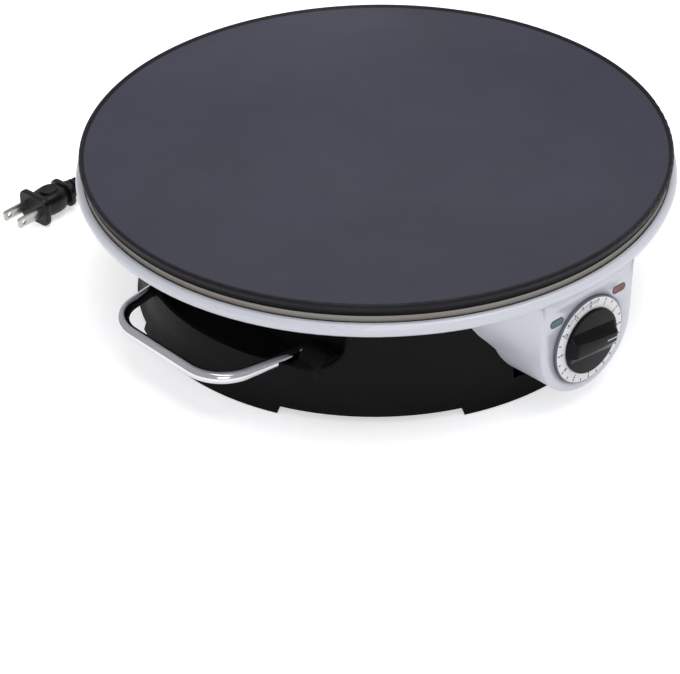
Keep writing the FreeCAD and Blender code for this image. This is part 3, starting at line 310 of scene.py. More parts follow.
def bevelled(mesh, width, segments, angle):
    """Rounds the edges that turn by more than the angle; the width is in millimetres."""
    scratch = new_object("scratch", mesh)
    bevel = scratch.modifiers.new("Soft edges", "BEVEL")
    bevel.width = width * 0.001
    bevel.segments = segments
    bevel.limit_method = "ANGLE"
    bevel.angle_limit = math.radians(angle)
    return settled(scratch)


def merged(meshes):
    """Puts meshes together in one, each with the first finish it has."""
    bm = bmesh.new()
    finishes = []
    for mesh in meshes:
        first = mesh.materials[0] if mesh.materials else None
        if first not in finishes:
            finishes.append(first)
        start = len(bm.faces)
        bm.from_mesh(mesh)
        bm.faces.ensure_lookup_table()
        for face in bm.faces[start:]:
            face.material_index = finishes.index(first)
    mesh = bpy.data.meshes.new("merged")
    bm.to_mesh(mesh)
    bm.free()
    for finish in finishes:
        mesh.materials.append(finish)
    return mesh


def row_tree():
    """Node tree that repeats a shape: each copy is moved, turned and scaled a step further."""
    tree = bpy.data.node_groups.get("Row of copies")
    if tree:
        return tree
    tree = bpy.data.node_groups.new("Row of copies", "GeometryNodeTree")
    for name, kind in (("Geometry", "Geometry"), ("Count", "Int"), ("Step", "Vector"), ("Turn", "Vector"),
                       ("Growth", "Vector"), ("Finish", "Material")):
        tree.interface.new_socket(name, in_out="INPUT", socket_type="NodeSocket" + kind)
    tree.interface.new_socket("Geometry", in_out="OUTPUT", socket_type="NodeSocketGeometry")
    nodes = tree.nodes
    links = tree.links
    start = nodes.new("NodeGroupInput")
    points = nodes.new("GeometryNodePoints")
    index = nodes.new("GeometryNodeInputIndex")
    links.new(start.outputs["Count"], points.inputs["Count"])

    def stepped(socket, base):
        scale = nodes.new("ShaderNodeVectorMath")
        scale.operation = "SCALE"
        links.new(start.outputs[socket], scale.inputs[0])
        links.new(index.outputs[0], scale.inputs["Scale"])
        add = nodes.new("ShaderNodeVectorMath")
        add.operation = "ADD"
        add.inputs[1].default_value = (base, base, base)
        links.new(scale.outputs[0], add.inputs[0])
        return add.outputs[0]

    links.new(stepped("Step", 0.0), points.inputs["Position"])
    copies = nodes.new("GeometryNodeInstanceOnPoints")
    links.new(points.outputs[0], copies.inputs["Points"])
    links.new(start.outputs["Geometry"], copies.inputs["Instance"])
    links.new(stepped("Turn", 0.0), copies.inputs["Rotation"])
    links.new(stepped("Growth", 1.0), copies.inputs["Scale"])
    real = nodes.new("GeometryNodeRealizeInstances")
    paint = nodes.new("GeometryNodeSetMaterial")
    end = nodes.new("NodeGroupOutput")
    links.new(copies.outputs[0], real.inputs[0])
    links.new(real.outputs[0], paint.inputs["Geometry"])
    links.new(start.outputs["Finish"], paint.inputs["Material"])
    links.new(paint.outputs[0], end.inputs[0])
    return tree


def in_a_row(mesh, count, finish, step=(0, 0, 0), turn=(0, 0, 0), growth=(0, 0, 0), place=Matrix()):
    """Repeats a mesh with the row tree and gives back one plain mesh."""
    scratch = new_object("scratch", mesh)
    modifier = scratch.modifiers.new("Row", "NODES")
    modifier.node_group = row_tree()
    values = {"Count": count, "Step": Vector(step) * 0.001, "Turn": Vector(turn), "Growth": Vector(growth),
              "Finish": FINISHES[finish]}
    for item in modifier.node_group.interface.items_tree:
        if item.in_out == "INPUT" and item.name in values:
            modifier[item.identifier] = values[item.name]
    result = painted(settled(scratch), finish)
    result.transform(place)
    return result


# Finishes

class Finish:
    """One procedural finish on a principled shader."""

    def __init__(self, name, colour, roughness, metallic=0.0, specular=0.5):
        self.material = bpy.data.materials.new(name)
        self.material.use_nodes = True
        self.material.diffuse_color = (*colour, 1.0)
        self.tree = self.material.node_tree
        self.shader = self.tree.nodes["Principled BSDF"]
        self.shader.inputs["Base Color"].default_value = (*colour, 1.0)
        self.shader.inputs["Roughness"].default_value = roughness
        self.shader.inputs["Metallic"].default_value = metallic
        self.shader.inputs["Specular IOR Level"].default_value = specular
        self.coords = self.add("ShaderNodeTexCoord").outputs["Object"]
        FINISHES[name] = self.material

    def add(self, kind, inputs=None, **settings):
        node = self.tree.nodes.new(kind)
        for key, value in settings.items():
            setattr(node, key, value)
        for key, value in (inputs or {}).items():
            if isinstance(value, bpy.types.NodeSocket):
                self.tree.links.new(value, node.inputs[key])
            else:
                node.inputs[key].default_value = value
        return node

    def set(self, socket, value):
        if isinstance(value, bpy.types.NodeSocket):
            self.tree.links.new(value, self.shader.inputs[socket])
        else:
            self.shader.inputs[socket].default_value = value

    def noise(self, scale, detail=2.0, rough=0.5, where=None):
        inputs = {"Vector": where or self.coords, "Scale": scale, "Detail": detail, "Roughness": rough}
        return self.add("ShaderNodeTexNoise", inputs).outputs[0]

    def cells(self, scale):
        return self.add("ShaderNodeTexVoronoi", {"Vector": self.coords, "Scale": scale}).outputs["Distance"]

    def span(self, value, low, high, start=0.0, end=1.0):
        inputs = {"Value": value, "From Min": start, "From Max": end, "To Min": low, "To Max": high}
        return self.add("ShaderNodeMapRange", inputs).outputs[0]

    def math(self, operation, a, b=0.0):
        return self.add("ShaderNodeMath", {0: a, 1: b}, operation=operation).outputs[0]

    def ramp(self, value, *stops):
        node = self.add("ShaderNodeValToRGB", {"Fac": value})
        marks = node.color_ramp.elements
        while len(marks) < len(stops):
            marks.new(0.5)
        for mark, (position, colour) in zip(marks, stops):
            mark.position = position
            mark.color = (*colour, 1.0)
        return node.outputs["Color"]

    def blend(self, share, first, second):
        node = self.add("ShaderNodeMix", data_type="RGBA")
        for name, value in (("Factor", share), ("A", first), ("B", second)):
            socket = [s for s in node.inputs if s.name == name and s.enabled][0]
            if isinstance(value, bpy.types.NodeSocket):
                self.tree.links.new(value, socket)
            else:
                socket.default_value = value if isinstance(value, float) else (*value, 1.0)
        return [s for s in node.outputs if s.enabled][0]

    def relief(self, height, depth, over=None, strength=1.0):
        inputs = {"Height": height, "Distance": depth, "Strength": strength}
        if over:
            inputs["Normal"] = over
        return self.add("ShaderNodeBump", inputs).outputs["Normal"]

    def axes(self):
        return self.add("ShaderNodeSeparateXYZ", {0: self.coords}).outputs

    def around(self, stretch_round, stretch_up, stretch_out=0.0):
        """Coordinates that run round the Z axis, so that marks follow the turning of a round piece."""
        x, y, z = self.axes()
        angle = self.math("ARCTAN2", y, x)
        reach = self.math("SQRT", self.math("ADD", self.math("MULTIPLY", x, x), self.math("MULTIPLY", y, y)))
        inputs = {0: self.math("MULTIPLY", angle, stretch_round), 1: self.math("MULTIPLY", reach, stretch_out),
                  2: self.math("MULTIPLY", z, stretch_up)}
        return self.add("ShaderNodeCombineXYZ", inputs).outputs[0], reach, z


def shade(colour, factor):
    """The colour made lighter, or darker where the factor is below one."""
    return tuple(min(1.0, channel * factor) for channel in colour)


def coating_finish(colour):
    """Matt non-stick coating: soft mottling, fine pebbled skin, faint turned rings, the upper rim darkened in
    patches, and painted shade on the rim's outer wall.
    """
    f = Finish("griddle_coating", colour, 0.5, specular=0.2)
    where, reach, height = f.around(1.2, 300.0, 900.0)
    patches = f.noise(11.0, 4.0, 0.6)
    base = f.ramp(patches, (0.3, shade(colour, 0.9)), (0.7, shade(colour, 1.1)))
    specks = f.span(f.noise(1900.0, 1.0), 0.0, 1.0, 0.66, 0.74)
    base = f.blend(f.math("MULTIPLY", specks, 0.25), base, shade(colour, 2.6))
    # The upper part of the rim is darkened in patches towards half the coating's colour
    top_of_rim = f.span(height, 0.0, 1.0, 0.0946, 0.0953)
    rim_top_darkening = f.math("MULTIPLY", top_of_rim, f.span(f.noise(160.0, 3.0), 0.15, 0.75, 0.4, 0.7))
    # Painted shade: the outer wall of the rim is darkened to a tenth of the coating's colour
    rim_wall_painted_shade = f.span(reach, 0.0, 1.0, 0.1646, 0.1654)
    base = f.blend(rim_wall_painted_shade, base, shade(colour, 0.10))
    f.set("Base Color", f.blend(rim_top_darkening, base, shade(colour, 0.5)))
    f.set("Roughness", f.span(f.noise(24.0, 3.0), 0.46, 0.58, 0.3, 0.7))
    rings = f.noise(1.0, 1.0, where=where)
    skin_bump = f.relief(f.noise(1300.0, 2.0), 0.00004, strength=0.55)
    f.set("Normal", f.relief(rings, 0.00002, skin_bump, 0.25))


def band_finish(colour):
    """Bare rolled steel with drawing marks round the band and a few heat stains."""
    f = Finish("bare_band", colour, 0.42, metallic=0.85)
    where = f.around(9.0, 5200.0)[0]
    lines = f.noise(1.0, 3.0, 0.6, where)
    stains = f.noise(26.0, 3.0)
    base = f.ramp(lines, (0.25, shade(colour, 0.78)), (0.75, shade(colour, 1.12)))
    straw = (colour[0] * 0.8, colour[1] * 0.7, colour[2] * 0.58)
    base = f.blend(f.span(stains, 0.0, 0.45, 0.5, 0.72), base, straw)
    f.set("Base Color", base)
    f.set("Roughness", f.span(lines, 0.34, 0.52, 0.3, 0.7))
    f.set("Normal", f.relief(lines, 0.00003, strength=0.5))


def silver_finish(colour):
    """Silver-white sprayed plastic: fine flake under a satin skin with a little orange peel."""
    f = Finish("silver_shell", colour, 0.34, metallic=0.08, specular=0.5)
    flake = f.cells(2400.0)
    base = f.ramp(flake, (0.1, shade(colour, 0.955)), (0.75, shade(colour, 1.03)))
    haze = f.noise(16.0, 3.0)
    f.set("Base Color", f.blend(f.span(haze, 0.0, 0.12, 0.45, 0.7), base, shade(colour, 0.93)))
    f.set("Roughness", f.span(f.noise(60.0, 2.0), 0.30, 0.40, 0.3, 0.7))
    f.set("Normal", f.relief(f.noise(420.0, 2.0), 0.00003, strength=0.35))


def black_shell_finish(colour):
    """Black moulded plastic with a spark-eroded grain and slight changes of shade and gloss."""
    f = Finish("black_shell", colour, 0.5, specular=0.08)
    grain = f.cells(1150.0)
    fine = f.noise(2600.0, 2.0)
    patches = f.noise(20.0, 4.0, 0.6)
    f.set("Base Color", f.ramp(patches, (0.3, shade(colour, 0.82)), (0.75, shade(colour, 1.25))))
    f.set("Roughness", f.span(patches, 0.43, 0.58, 0.3, 0.7))
    first = f.relief(grain, 0.00005, strength=0.4)
    f.set("Normal", f.relief(fine, 0.00002, first, 0.5))


def gloss_finish(name, colour, roughness=0.16):
    """Polished moulded plastic with fine hairline marks and a trace of dust."""
    f = Finish(name, colour, roughness, specular=0.10)
    dust = f.span(f.noise(800.0, 3.0, 0.7), 0.0, 1.0, 0.62, 0.75)
    f.set("Base Color", f.blend(f.math("MULTIPLY", dust, 0.03), colour, (0.30, 0.30, 0.31)))
    hair = f.add("ShaderNodeMapping", {"Vector": f.coords, "Scale": (90.0, 400.0, 2600.0),
                                       "Rotation": (0.3, 0.2, 0.5)})
    marks = f.noise(1.0, 2.0, 0.5, hair.outputs[0])
    f.set("Roughness", f.span(marks, roughness * 0.8, roughness * 1.5, 0.4, 0.75))
    f.set("Normal", f.relief(marks, 0.00001, strength=0.25))


def satin_finish(name, colour, roughness=0.45, grain=1500.0, spread=0.10, specular=0.5):
    """Plain moulded plastic or rubber with a fine grain and slight shade changes."""
    f = Finish(name, colour, roughness, specular=specular)
    patches = f.noise(45.0, 3.0)
    f.set("Base Color", f.ramp(patches, (0.3, shade(colour, 1 - spread)), (0.7, shade(colour, 1 + spread))))
    f.set("Roughness", f.span(f.noise(90.0, 2.0), roughness * 0.88, roughness * 1.12, 0.3, 0.7))
    f.set("Normal", f.relief(f.noise(grain, 2.0), 0.00003, strength=0.45))


def metal_finish(name, colour, roughness, marks=(500.0, 500.0, 500.0), tarnish=0.15):
    """Plain metal with rolling or plating marks and light tarnish."""
    f = Finish(name, colour, roughness, metallic=1.0)
    where = f.add("ShaderNodeMapping", {"Vector": f.coords, "Scale": marks}).outputs[0]
    lines = f.noise(1.0, 3.0, 0.6, where)
    spots = f.span(f.noise(130.0, 4.0, 0.65), 0.0, tarnish, 0.5, 0.8)
    base = f.ramp(lines, (0.3, shade(colour, 0.88)), (0.7, shade(colour, 1.06)))
    f.set("Base Color", f.blend(spots, base, shade(colour, 0.5)))
    f.set("Roughness", f.span(lines, roughness * 0.8, roughness * 1.25, 0.3, 0.7))
    f.set("Normal", f.relief(lines, 0.00001, strength=0.3))


def chrome_finish(colour):
    """Polished chrome with a thin, uneven haze and very fine pits."""
    f = Finish("chrome_rod", colour, 0.07, metallic=1.0)
    haze = f.noise(42.0, 4.0, 0.6)
    spots = f.noise(1500.0, 1.0)
    f.set("Base Color", f.ramp(haze, (0.3, shade(colour, 0.95)), (0.7, shade(colour, 1.03))))
    f.set("Roughness", f.span(haze, 0.045, 0.13, 0.35, 0.75))
    f.set("Normal", f.relief(spots, 0.000004, strength=0.15))


def lens_finish(name, colour):
    """Coloured lamp lens: glossy tinted plastic that is slightly cloudy."""
    f = Finish(name, colour, 0.16, specular=0.5)
    cloud = f.noise(500.0, 2.0)
    f.set("Base Color", f.ramp(cloud, (0.3, shade(colour, 0.8)), (0.7, shade(colour, 1.25))))
    f.set("Roughness", f.span(cloud, 0.12, 0.22, 0.3, 0.7))
    f.set("Transmission Weight", 0.05)
    f.set("IOR", 1.49)
    f.set("Coat Weight", 0.15)


def ink_finish(name, colour):
    """Printed ink of slightly uneven strength."""
    f = Finish(name, colour, 0.5)
    f.set("Base Color", f.ramp(f.noise(3000.0, 2.0), (0.3, shade(colour, 0.85)), (0.8, shade(colour, 1.5))))
    f.set("Roughness", f.span(f.noise(900.0), 0.42, 0.58, 0.3, 0.7))


def woven_finish(name, colour, turns=900.0):
    """Woven sleeve or webbing: crossing ribs of yarn."""
    f = Finish(name, colour, 0.75, specular=0.3)
    first = f.add("ShaderNodeTexWave", {"Vector": f.coords, "Scale": turns, "Distortion": 0.6},
                  wave_type="BANDS", bands_direction="X").outputs["Fac"]
    second = f.add("ShaderNodeTexWave", {"Vector": f.coords, "Scale": turns, "Distortion": 0.6},
                   wave_type="BANDS", bands_direction="Z").outputs["Fac"]
    weave = f.math("MULTIPLY", first, second)
    f.set("Base Color", f.ramp(weave, (0.1, shade(colour, 0.6)), (0.8, shade(colour, 1.15))))
    f.set("Roughness", f.span(weave, 0.68, 0.85))
    f.set("Sheen Weight", 0.25)
    f.set("Normal", f.relief(weave, 0.00008, strength=0.5))


def glass_finish():
    """Clear glass of the small lamps."""
    f = Finish("lamp_glass", (0.92, 0.90, 0.85), 0.05)
    f.set("Transmission Weight", 0.85)
    f.set("Roughness", f.span(f.noise(300.0), 0.03, 0.09, 0.3, 0.7))


# Settings that a user would change

class CrepeMakerSettings(bpy.types.PropertyGroup):
    """Sizes and colours of the crepe maker"""
    plate_colour: FloatVectorProperty(name="Plate colour", description="Colour of the non-stick coating",
                                      subtype="COLOR", default=(0.043, 0.043, 0.065), min=0.0, max=1.0)
    band_colour: FloatVectorProperty(name="Band colour", description="Colour of the bare metal band",
                                     subtype="COLOR", default=(0.24, 0.225, 0.205), min=0.0, max=1.0)
    shell_colour: FloatVectorProperty(name="Ring colour", description="Colour of the silver ring and dial box",
                                      subtype="COLOR", default=(0.63, 0.645, 0.71), min=0.0, max=1.0)
    base_colour: FloatVectorProperty(name="Base colour", description="Colour of the moulded base",
                                     subtype="COLOR", default=(0.0040, 0.0040, 0.0047), min=0.0, max=1.0)
    handle_radius: FloatProperty(name="Handle rod radius", description="Radius of the wire handles",
                                 default=0.0035, min=0.001, max=0.01, unit="LENGTH")
    knob_radius: FloatProperty(name="Knob radius", description="Outer radius of the dial knob",
                               default=0.0195, min=0.01, max=0.025, unit="LENGTH")
    tick_count: IntProperty(name="Dial ticks", description="Small scale marks round the dial",
                            default=24, min=8, max=120)
    number_height: FloatProperty(name="Number height", description="Height of the numbers on the dial",
                                 default=0.0025, min=0.001, max=0.006, unit="LENGTH")
    cord_radius: FloatProperty(name="Cord radius", description="Radius of the mains cord",
                               default=0.00325, min=0.002, max=0.006, unit="LENGTH")
    lamp_energy: FloatProperty(name="Key light", description="Power of the main soft lamp in watts",
                               default=20.0, min=0.0, max=400.0)
    sky_level: FloatProperty(name="Room light", description="Strength of the even light from all round",
                             default=0.50, min=0.0, max=3.0)


def settings():
    return bpy.context.scene.crepe_maker


# Operators

class CREPE_OT_finishes(bpy.types.Operator):
    """Make every finish of the crepe maker"""
    bl_idname = "crepe.finishes"
    bl_label = "Make finishes"

    def execute(self, context):
        s = settings()
        coating_finish(tuple(s.plate_colour))
        band_finish(tuple(s.band_colour))
        silver_finish(tuple(s.shell_colour))
        black_shell_finish(tuple(s.base_colour))
        gloss_finish("knob_black", (0.004, 0.004, 0.005), 0.20)
        satin_finish("dial_white", (0.80, 0.80, 0.83), 0.42, 1800.0, 0.03)
        ink_finish("dial_ink", (0.010, 0.010, 0.014))
        ink_finish("dial_grey", (0.24, 0.24, 0.27))
        ink_finish("pointer_paint", (0.42, 0.42, 0.46))
        # Painted shade: the side wall of the raised scale disc is coloured dark grey in place of its shaded
        # silver
        satin_finish("dial_side_painted_shade", (0.13, 0.135, 0.165), 0.4, 1500.0, 0.05)
        lens_finish("lens_green", (0.006, 0.10, 0.08))
        lens_finish("lens_red", (0.18, 0.012, 0.018))
        satin_finish("lens_rim", (0.02, 0.02, 0.024), 0.35, 1500.0, 0.05)
        chrome_finish((0.64, 0.64, 0.67))
        metal_finish("zinc_metal", (0.62, 0.63, 0.64), 0.32)
        metal_finish("element_sheath", (0.22, 0.20, 0.18), 0.5, (300.0, 300.0, 900.0), 0.5)
        metal_finish("blade_metal", (0.50, 0.49, 0.47), 0.3, (900.0, 200.0, 2500.0), 0.12)
        metal_finish("brass_parts", (0.62, 0.46, 0.20), 0.3)
        satin_finish("phenolic", (0.055, 0.03, 0.018), 0.4, 700.0, 0.25)
        satin_finish("pale_plastic", (0.62, 0.60, 0.54), 0.38)
        satin_finish("foot_rubber", (0.018, 0.018, 0.018), 0.75, 1100.0, 0.2, 0.3)
        satin_finish("cord_rubber", (0.006, 0.006, 0.007), 0.42, 1600.0, 0.15, 0.25)
        satin_finish("plug_black", (0.006, 0.006, 0.007), 0.36, 1400.0, 0.15, 0.25)
        woven_finish("wire_sleeve", (0.42, 0.40, 0.34))
        woven_finish("tie_webbing", (0.014, 0.014, 0.015), 700.0)
        glass_finish()
        return {"FINISHED"}


INNER_PARTS = {
    "zinc_metal": ("element_tabs", "element_straps", "strap_screws", "plate_studs", "stud_spacers",
                   "plate_washers", "plate_nuts", "fuse_bracket", "knob_clip", "thermostat_shaft",
                   "thermostat_bracket", "bracket_screws", "lamp_retainers", "clamp_screws"),
    "wire_sleeve": ("wire_live", "wire_neutral", "wire_switched", "wire_lamps"),
    "pale_plastic": ("thermal_fuse", "terminal_block"),
    "lamp_glass": ("lamp_green", "lamp_red"),
    "element_sheath": ("heating_element",),
    "phenolic": ("thermostat_body",),
    "brass_parts": ("terminal_screws",),
    "black_shell": ("cord_clamp",),
    "cord_rubber": ("cord_inner",),
}


class CREPE_OT_inner_parts(bpy.types.Operator):
    """Give the parts inside the housing their finishes"""
    bl_idname = "crepe.inner_parts"
    bl_label = "Finish inner parts"

    def execute(self, context):
        for finish, nodes in INNER_PARTS.items():
            for node in nodes:
                painted(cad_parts[node].data, finish)
        return {"FINISHED"}


class CREPE_OT_plate(bpy.types.Operator):
    """Make the griddle plate and the bare metal band under it"""
    bl_idname = "crepe.plate"
    bl_label = "Make plate and band"

    def execute(self, context):
        from_frame("cooking_plate", "griddle_plate", "stand", "griddle_coating")
        from_frame("heat_shield", "metal_band", "stand", "bare_band")
        return {"FINISHED"}


class CREPE_OT_housing(bpy.types.Operator):
    """Make the silver ring with its dial box"""
    bl_idname = "crepe.housing"
    bl_label = "Make silver housing"

    def execute(self, context):
        from_frame("upper_housing", "silver_housing", "stand", "silver_shell")
        return {"FINISHED"}


class CREPE_OT_base(bpy.types.Operator):
    """Make the black base with its cover"""
    bl_idname = "crepe.base"
    bl_label = "Make base"

    def execute(self, context):
        from_frame("base_housing", "black_base", "stand", "black_shell")
        from_frame("bottom_cover", "base_cover", "stand", "black_shell")
        return {"FINISHED"}


class CREPE_OT_feet_and_screws(bpy.types.Operator):
    """Make the four rubber feet and the four housing screws"""
    bl_idname = "crepe.feet_and_screws"
    bl_label = "Make feet and screws"

    def execute(self, context):
        quarter = (0, 0, math.pi / 2)
        place = shift(FOOT_REACH, 0, 0)
        bm = bmesh.new()
        foot = soft_outline([(0, 0, 0), (6.6, 0, 0.9), (7.5, 1.4, 0.4), (7.5, 4.4, 0.3), (2.6, 4.4, 0),
                             (2.6, 6.0, 0), (3.4, 6.0, 0.2), (2.0, 7.4, 0.2), (0, 7.4, 0)], 3)
        turn_profile(bm, foot, place, 48)
        for radius in (2.4, 4.4):
            ridge = [(radius - 0.3, 0.02), (radius + 0.3, 0.02), (radius + 0.3, 0.3), (radius - 0.3, 0.3)]
            turn_profile(bm, ridge, place, 48)
        feet = in_a_row(mesh_from(bm, "foot"), 4, "foot_rubber", turn=quarter)
        finished(feet, "rubber_feet", "stand", None,
                 ("foot_front", "foot_rear", "foot_left", "foot_right"))
        reach = SCREW_REACH * math.sqrt(0.5)
        head = soft_outline([(0.9, 2.9, 0), (1.4, 2.2, 0), (3.2, 2.2, 0.7), (4.0, 3.2, 0.5), (4.0, 4.4, 0),
                             (2.0, 4.4, 0), (2.0, 77.4, 0.5), (0, 78.0, 0), (0, 2.9, 0)], 3)
        screw = turned(head, "screw", shift(reach, reach, 0), 40)
        screws = in_a_row(screw, 4, "zinc_metal", turn=quarter)
        finished(screws, "base_screws", "stand", None, ("housing_screws",))
        return {"FINISHED"}


class CREPE_OT_handles(bpy.types.Operator):
    """Make the two chromed wire handles"""
    bl_idname = "crepe.handles"
    bl_label = "Make handles"

    def execute(self, context):
        radius = settings().handle_radius * 1000
        reach, half, height = PIVOT
        for side, name in ((-1, "left"), (1, "right")):
            corners = [Vector((side * x, y, height)) for x, y in
                       ((reach, HANDLE_END), (reach, half), (HANDLE_OUT, HANDLE_HALF),
                        (HANDLE_OUT, -HANDLE_HALF), (reach, -half), (reach, -HANDLE_END))]
            line = rounded_line(corners, HANDLE_BENDS, 22)
            tips = [line[0], line[0].lerp(line[1], 0.5 / (line[0] - line[1]).length)]
            ends = [line[-1].lerp(line[-2], 0.5 / (line[-1] - line[-2]).length), line[-1]]
            line = tips + line[1:-1] + ends
            radii = [radius - 0.5] + [radius] * (len(line) - 2) + [radius - 0.5]
            finished(lofted(rod_rings(line, radii, 48), "handle"), "wire_handle_" + name, name + "_handle",
                     "chrome_rod", ("handle_" + name,))
        return {"FINISHED"}


def dial_place(depth=0.0):
    """Matrix that stands a piece on the dial: its X to the right, its Y up, its Z out of the face."""
    return shift(0, DIAL_Y - depth, DIAL_Z) @ FACING


class CREPE_OT_dial(bpy.types.Operator):
    """Make the white scale disc with its ticks and numbers"""
    bl_idname = "crepe.dial"
    bl_label = "Make dial scale"

    def execute(self, context):
        s = settings()
        edge = DISC_RADIUS - 0.5
        skirt = [(DISC_HOLE, 0), (DISC_RADIUS, 0), (DISC_RADIUS, DISC_FRONT - 0.35), (edge, DISC_FRONT - 0.1),
                 (edge, 0.4), (DISC_HOLE, 0.4)]
        top = soft_outline([(DISC_HOLE, 0.5, 0), (edge, 0.5, 0), (edge, DISC_FRONT, 0.25),
                            (DISC_HOLE, DISC_FRONT, 0)], 4)
        # The disc's side wall carries painted shade in a dark grey
        disc = merged([turned(skirt, "skirt", dial_place(), 160, "dial_side_painted_shade"),
                       turned(top, "top", dial_place(), 160, "dial_white")])
        finished(disc, "scale_disc", "stand", None, ("dial_plate",))
        step = 2 * math.pi / s.tick_count
        place = dial_place(DISC_FRONT + 0.02)
        dash = [placed(box_ring(0.7, 1.6, 0.25, height, 3), shift(0, TICK_REACH, 0)) for height in (0.0, 0.05)]
        first = Matrix.Rotation(math.radians(HATCH_START), 4, "Z") @ shift(0, HATCH_REACH, 0)
        line = [placed(box_ring(0.2, 2.6, 0.05, height, 2), first @ Matrix.Rotation(HATCH_LEAN, 4, "Z"))
                for height in (0.0, 0.04)]
        marks = [in_a_row(lofted(dash, "tick"), s.tick_count, "dial_ink", turn=(0, 0, -step), place=place),
                 in_a_row(lofted(line, "hatching"), HATCH_COUNT, "dial_grey",
                          turn=(0, 0, math.radians(-HATCH_STEP)), place=place)]
        for i in range(NUMBER_COUNT):
            text = bpy.data.curves.new("number", "FONT")
            text.body = str(i)
            text.size = s.number_height * TYPE_PER_HEIGHT
            text.align_x = "CENTER"
            text.align_y = "CENTER"
            text.extrude = 0.00002
            text.offset = 0.00007
            text.resolution_u = 3
            number = painted(settled(new_object("scratch", text)), "dial_ink")
            turn = Matrix.Rotation(-2 * math.pi * i / NUMBER_COUNT, 4, "Z")
            number.transform(place @ turn @ shift(0, NUMBER_REACH, 0))
            marks.append(number)
        finished(merged(marks), "scale_marks", "stand", None)
        return {"FINISHED"}


def grip_ring(x, radius):
    """Cross-section of the knob's grip at x: sloping flanks and a crowned top that falls at both ends."""
    end = max(0.0, (abs(x) - radius + 4.4) / 3.4)
    foot = min(9.0, math.sqrt(max(1.0, (radius - 0.6) ** 2 - x * x)))
    head = min(3.7 - 0.055 * x, foot - 0.4)
    top = KNOB_DISC + (KNOB_GRIP - KNOB_CROWN * (x / radius) ** 2) * (1 - end * end * 0.93)
    side = [(foot, 1.6), (foot, 2.0), (foot - 0.5, 2.2), (head + 1.1, top * 0.62 + 0.5),
            (head + 0.5, top - 0.55), (head, top - 0.18), (head - 0.7, top)]
    return [(x, y, min(z, top)) for y, z in side] + [(x, -y, min(z, top)) for y, z in reversed(side)]


class CREPE_OT_knob(bpy.types.Operator):
    """Make the black knob with its raised grip"""
    bl_idname = "crepe.knob"
    bl_label = "Make knob"

    def execute(self, context):
        radius = settings().knob_radius * 1000
        profile = soft_outline([(3.6, 0.0, 0), (radius - 0.2, 0.0, 0.2), (radius, 0.4, 0.2),
                                (radius - 0.3, KNOB_DISC, 0.5), (0, KNOB_DISC, 0), (0, 1.4, 0),
                                (3.6, 1.4, 0)], 4)
        disc = turned(profile, "knob disc", Matrix(), 160, "knob_black")
        cuts = 36
        reach = radius - 1.0
        rings = [placed(grip_ring(-math.cos(math.pi * i / cuts) * reach, radius), Matrix())
                 for i in range(cuts + 1)]
        slope = shift(11.2, 0, 0) @ Matrix.Rotation(0.064, 4, "Y")
        line = [placed(box_ring(9.0, 0.8, 0.3, height, 3), slope) for height in (5.6, 6.38)]
        knob = merged([disc, lofted(rings, "knob grip", "knob_black"),
                       lofted(line, "pointer", "pointer_paint")])
        knob.transform(dial_place(DISC_FRONT + KNOB_GAP) @ Matrix.Rotation(math.radians(KNOB_POINT), 4, "Z"))
        finished(knob, "black_knob", "knob", None, ("dial_knob",), 28)
        return {"FINISHED"}


class CREPE_OT_lenses(bpy.types.Operator):
    """Make the green and red lamp lenses"""
    bl_idname = "crepe.lenses"
    bl_label = "Make lamp lenses"

    def execute(self, context):
        for side, name in ((-1, "green"), (1, "red")):
            low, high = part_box("lens_" + name)
            back = -high.y * 1000
            front = -low.y * 1000
            place = shift(side * LAMP_SPREAD, 0, LAMP_Z) @ FACING
            rings = [placed(capsule_ring(length, width, depth), place) for depth, length, width in
                     ((back, 12.0, 6.6), (back + 1.0, 12.0, 6.6), (back + 1.0, 10.0, 4.6),
                      (front - 0.3, 10.0, 4.6), (front - 0.1, 9.7, 4.3), (front, 9.0, 3.6),
                      (front - 0.12, 7.8, 2.4))]
            lens = lofted(rings, "lens", "lens_" + name)
            rings = [placed(capsule_ring(length, width, depth), place) for depth, length, width in
                     ((front - 1.2, 10.05, 4.65), (front - 0.04, 10.05, 4.65), (front - 0.02, 9.9, 4.5),
                      (front - 0.02, 8.5, 3.1), (front - 1.2, 8.5, 3.1), (front - 1.2, 10.05, 4.65))]
            rim = lofted(rings, "rim", "lens_rim", False)
            finished(merged([lens, rim]), "lamp_lens_" + name, "stand", None, ("lens_" + name,))
        return {"FINISHED"}


class CREPE_OT_boot(bpy.types.Operator):
    """Make the ribbed boot where the cord leaves the base"""
    bl_idname = "crepe.boot"
    bl_label = "Make cord boot"

    def execute(self, context):
        place = shift(0, 0, CORD_Z) @ Matrix.Rotation(-math.pi / 2, 4, "X")
        core = soft_outline([(0, 128.0, 0), (8.0, 128.0, 0.4), (8.0, 130.0, 0.4), (6.2, 130.0, 0),
                             (6.2, 137.6, 0), (7.1, 137.6, 0.5), (7.0, 142.0, 0.6), (5.9, 143.0, 0),
                             (3.6, 177.0, 0), (4.4, 177.2, 0.3), (4.35, BOOT_END, 0.5), (0, BOOT_END, 0)], 4)
        rib = soft_outline([(4.0, -1.6, 0), (6.7, -1.6, 0.45), (6.6, 1.6, 0.45), (4.0, 1.6, 0)], 4)
        shrink = -0.055
        ribs = in_a_row(turned(rib, "boot rib"), 6, "plug_black", step=(0, 0, 5.4), growth=(shrink, shrink, 0),
                        place=place @ shift(0, 0, 146.8))
        boot = merged([turned(core, "boot core", place, 64, "plug_black"), ribs])
        finished(boot, "cord_boot", "stand", "plug_black", ("cord_gland",))
        return {"FINISHED"}


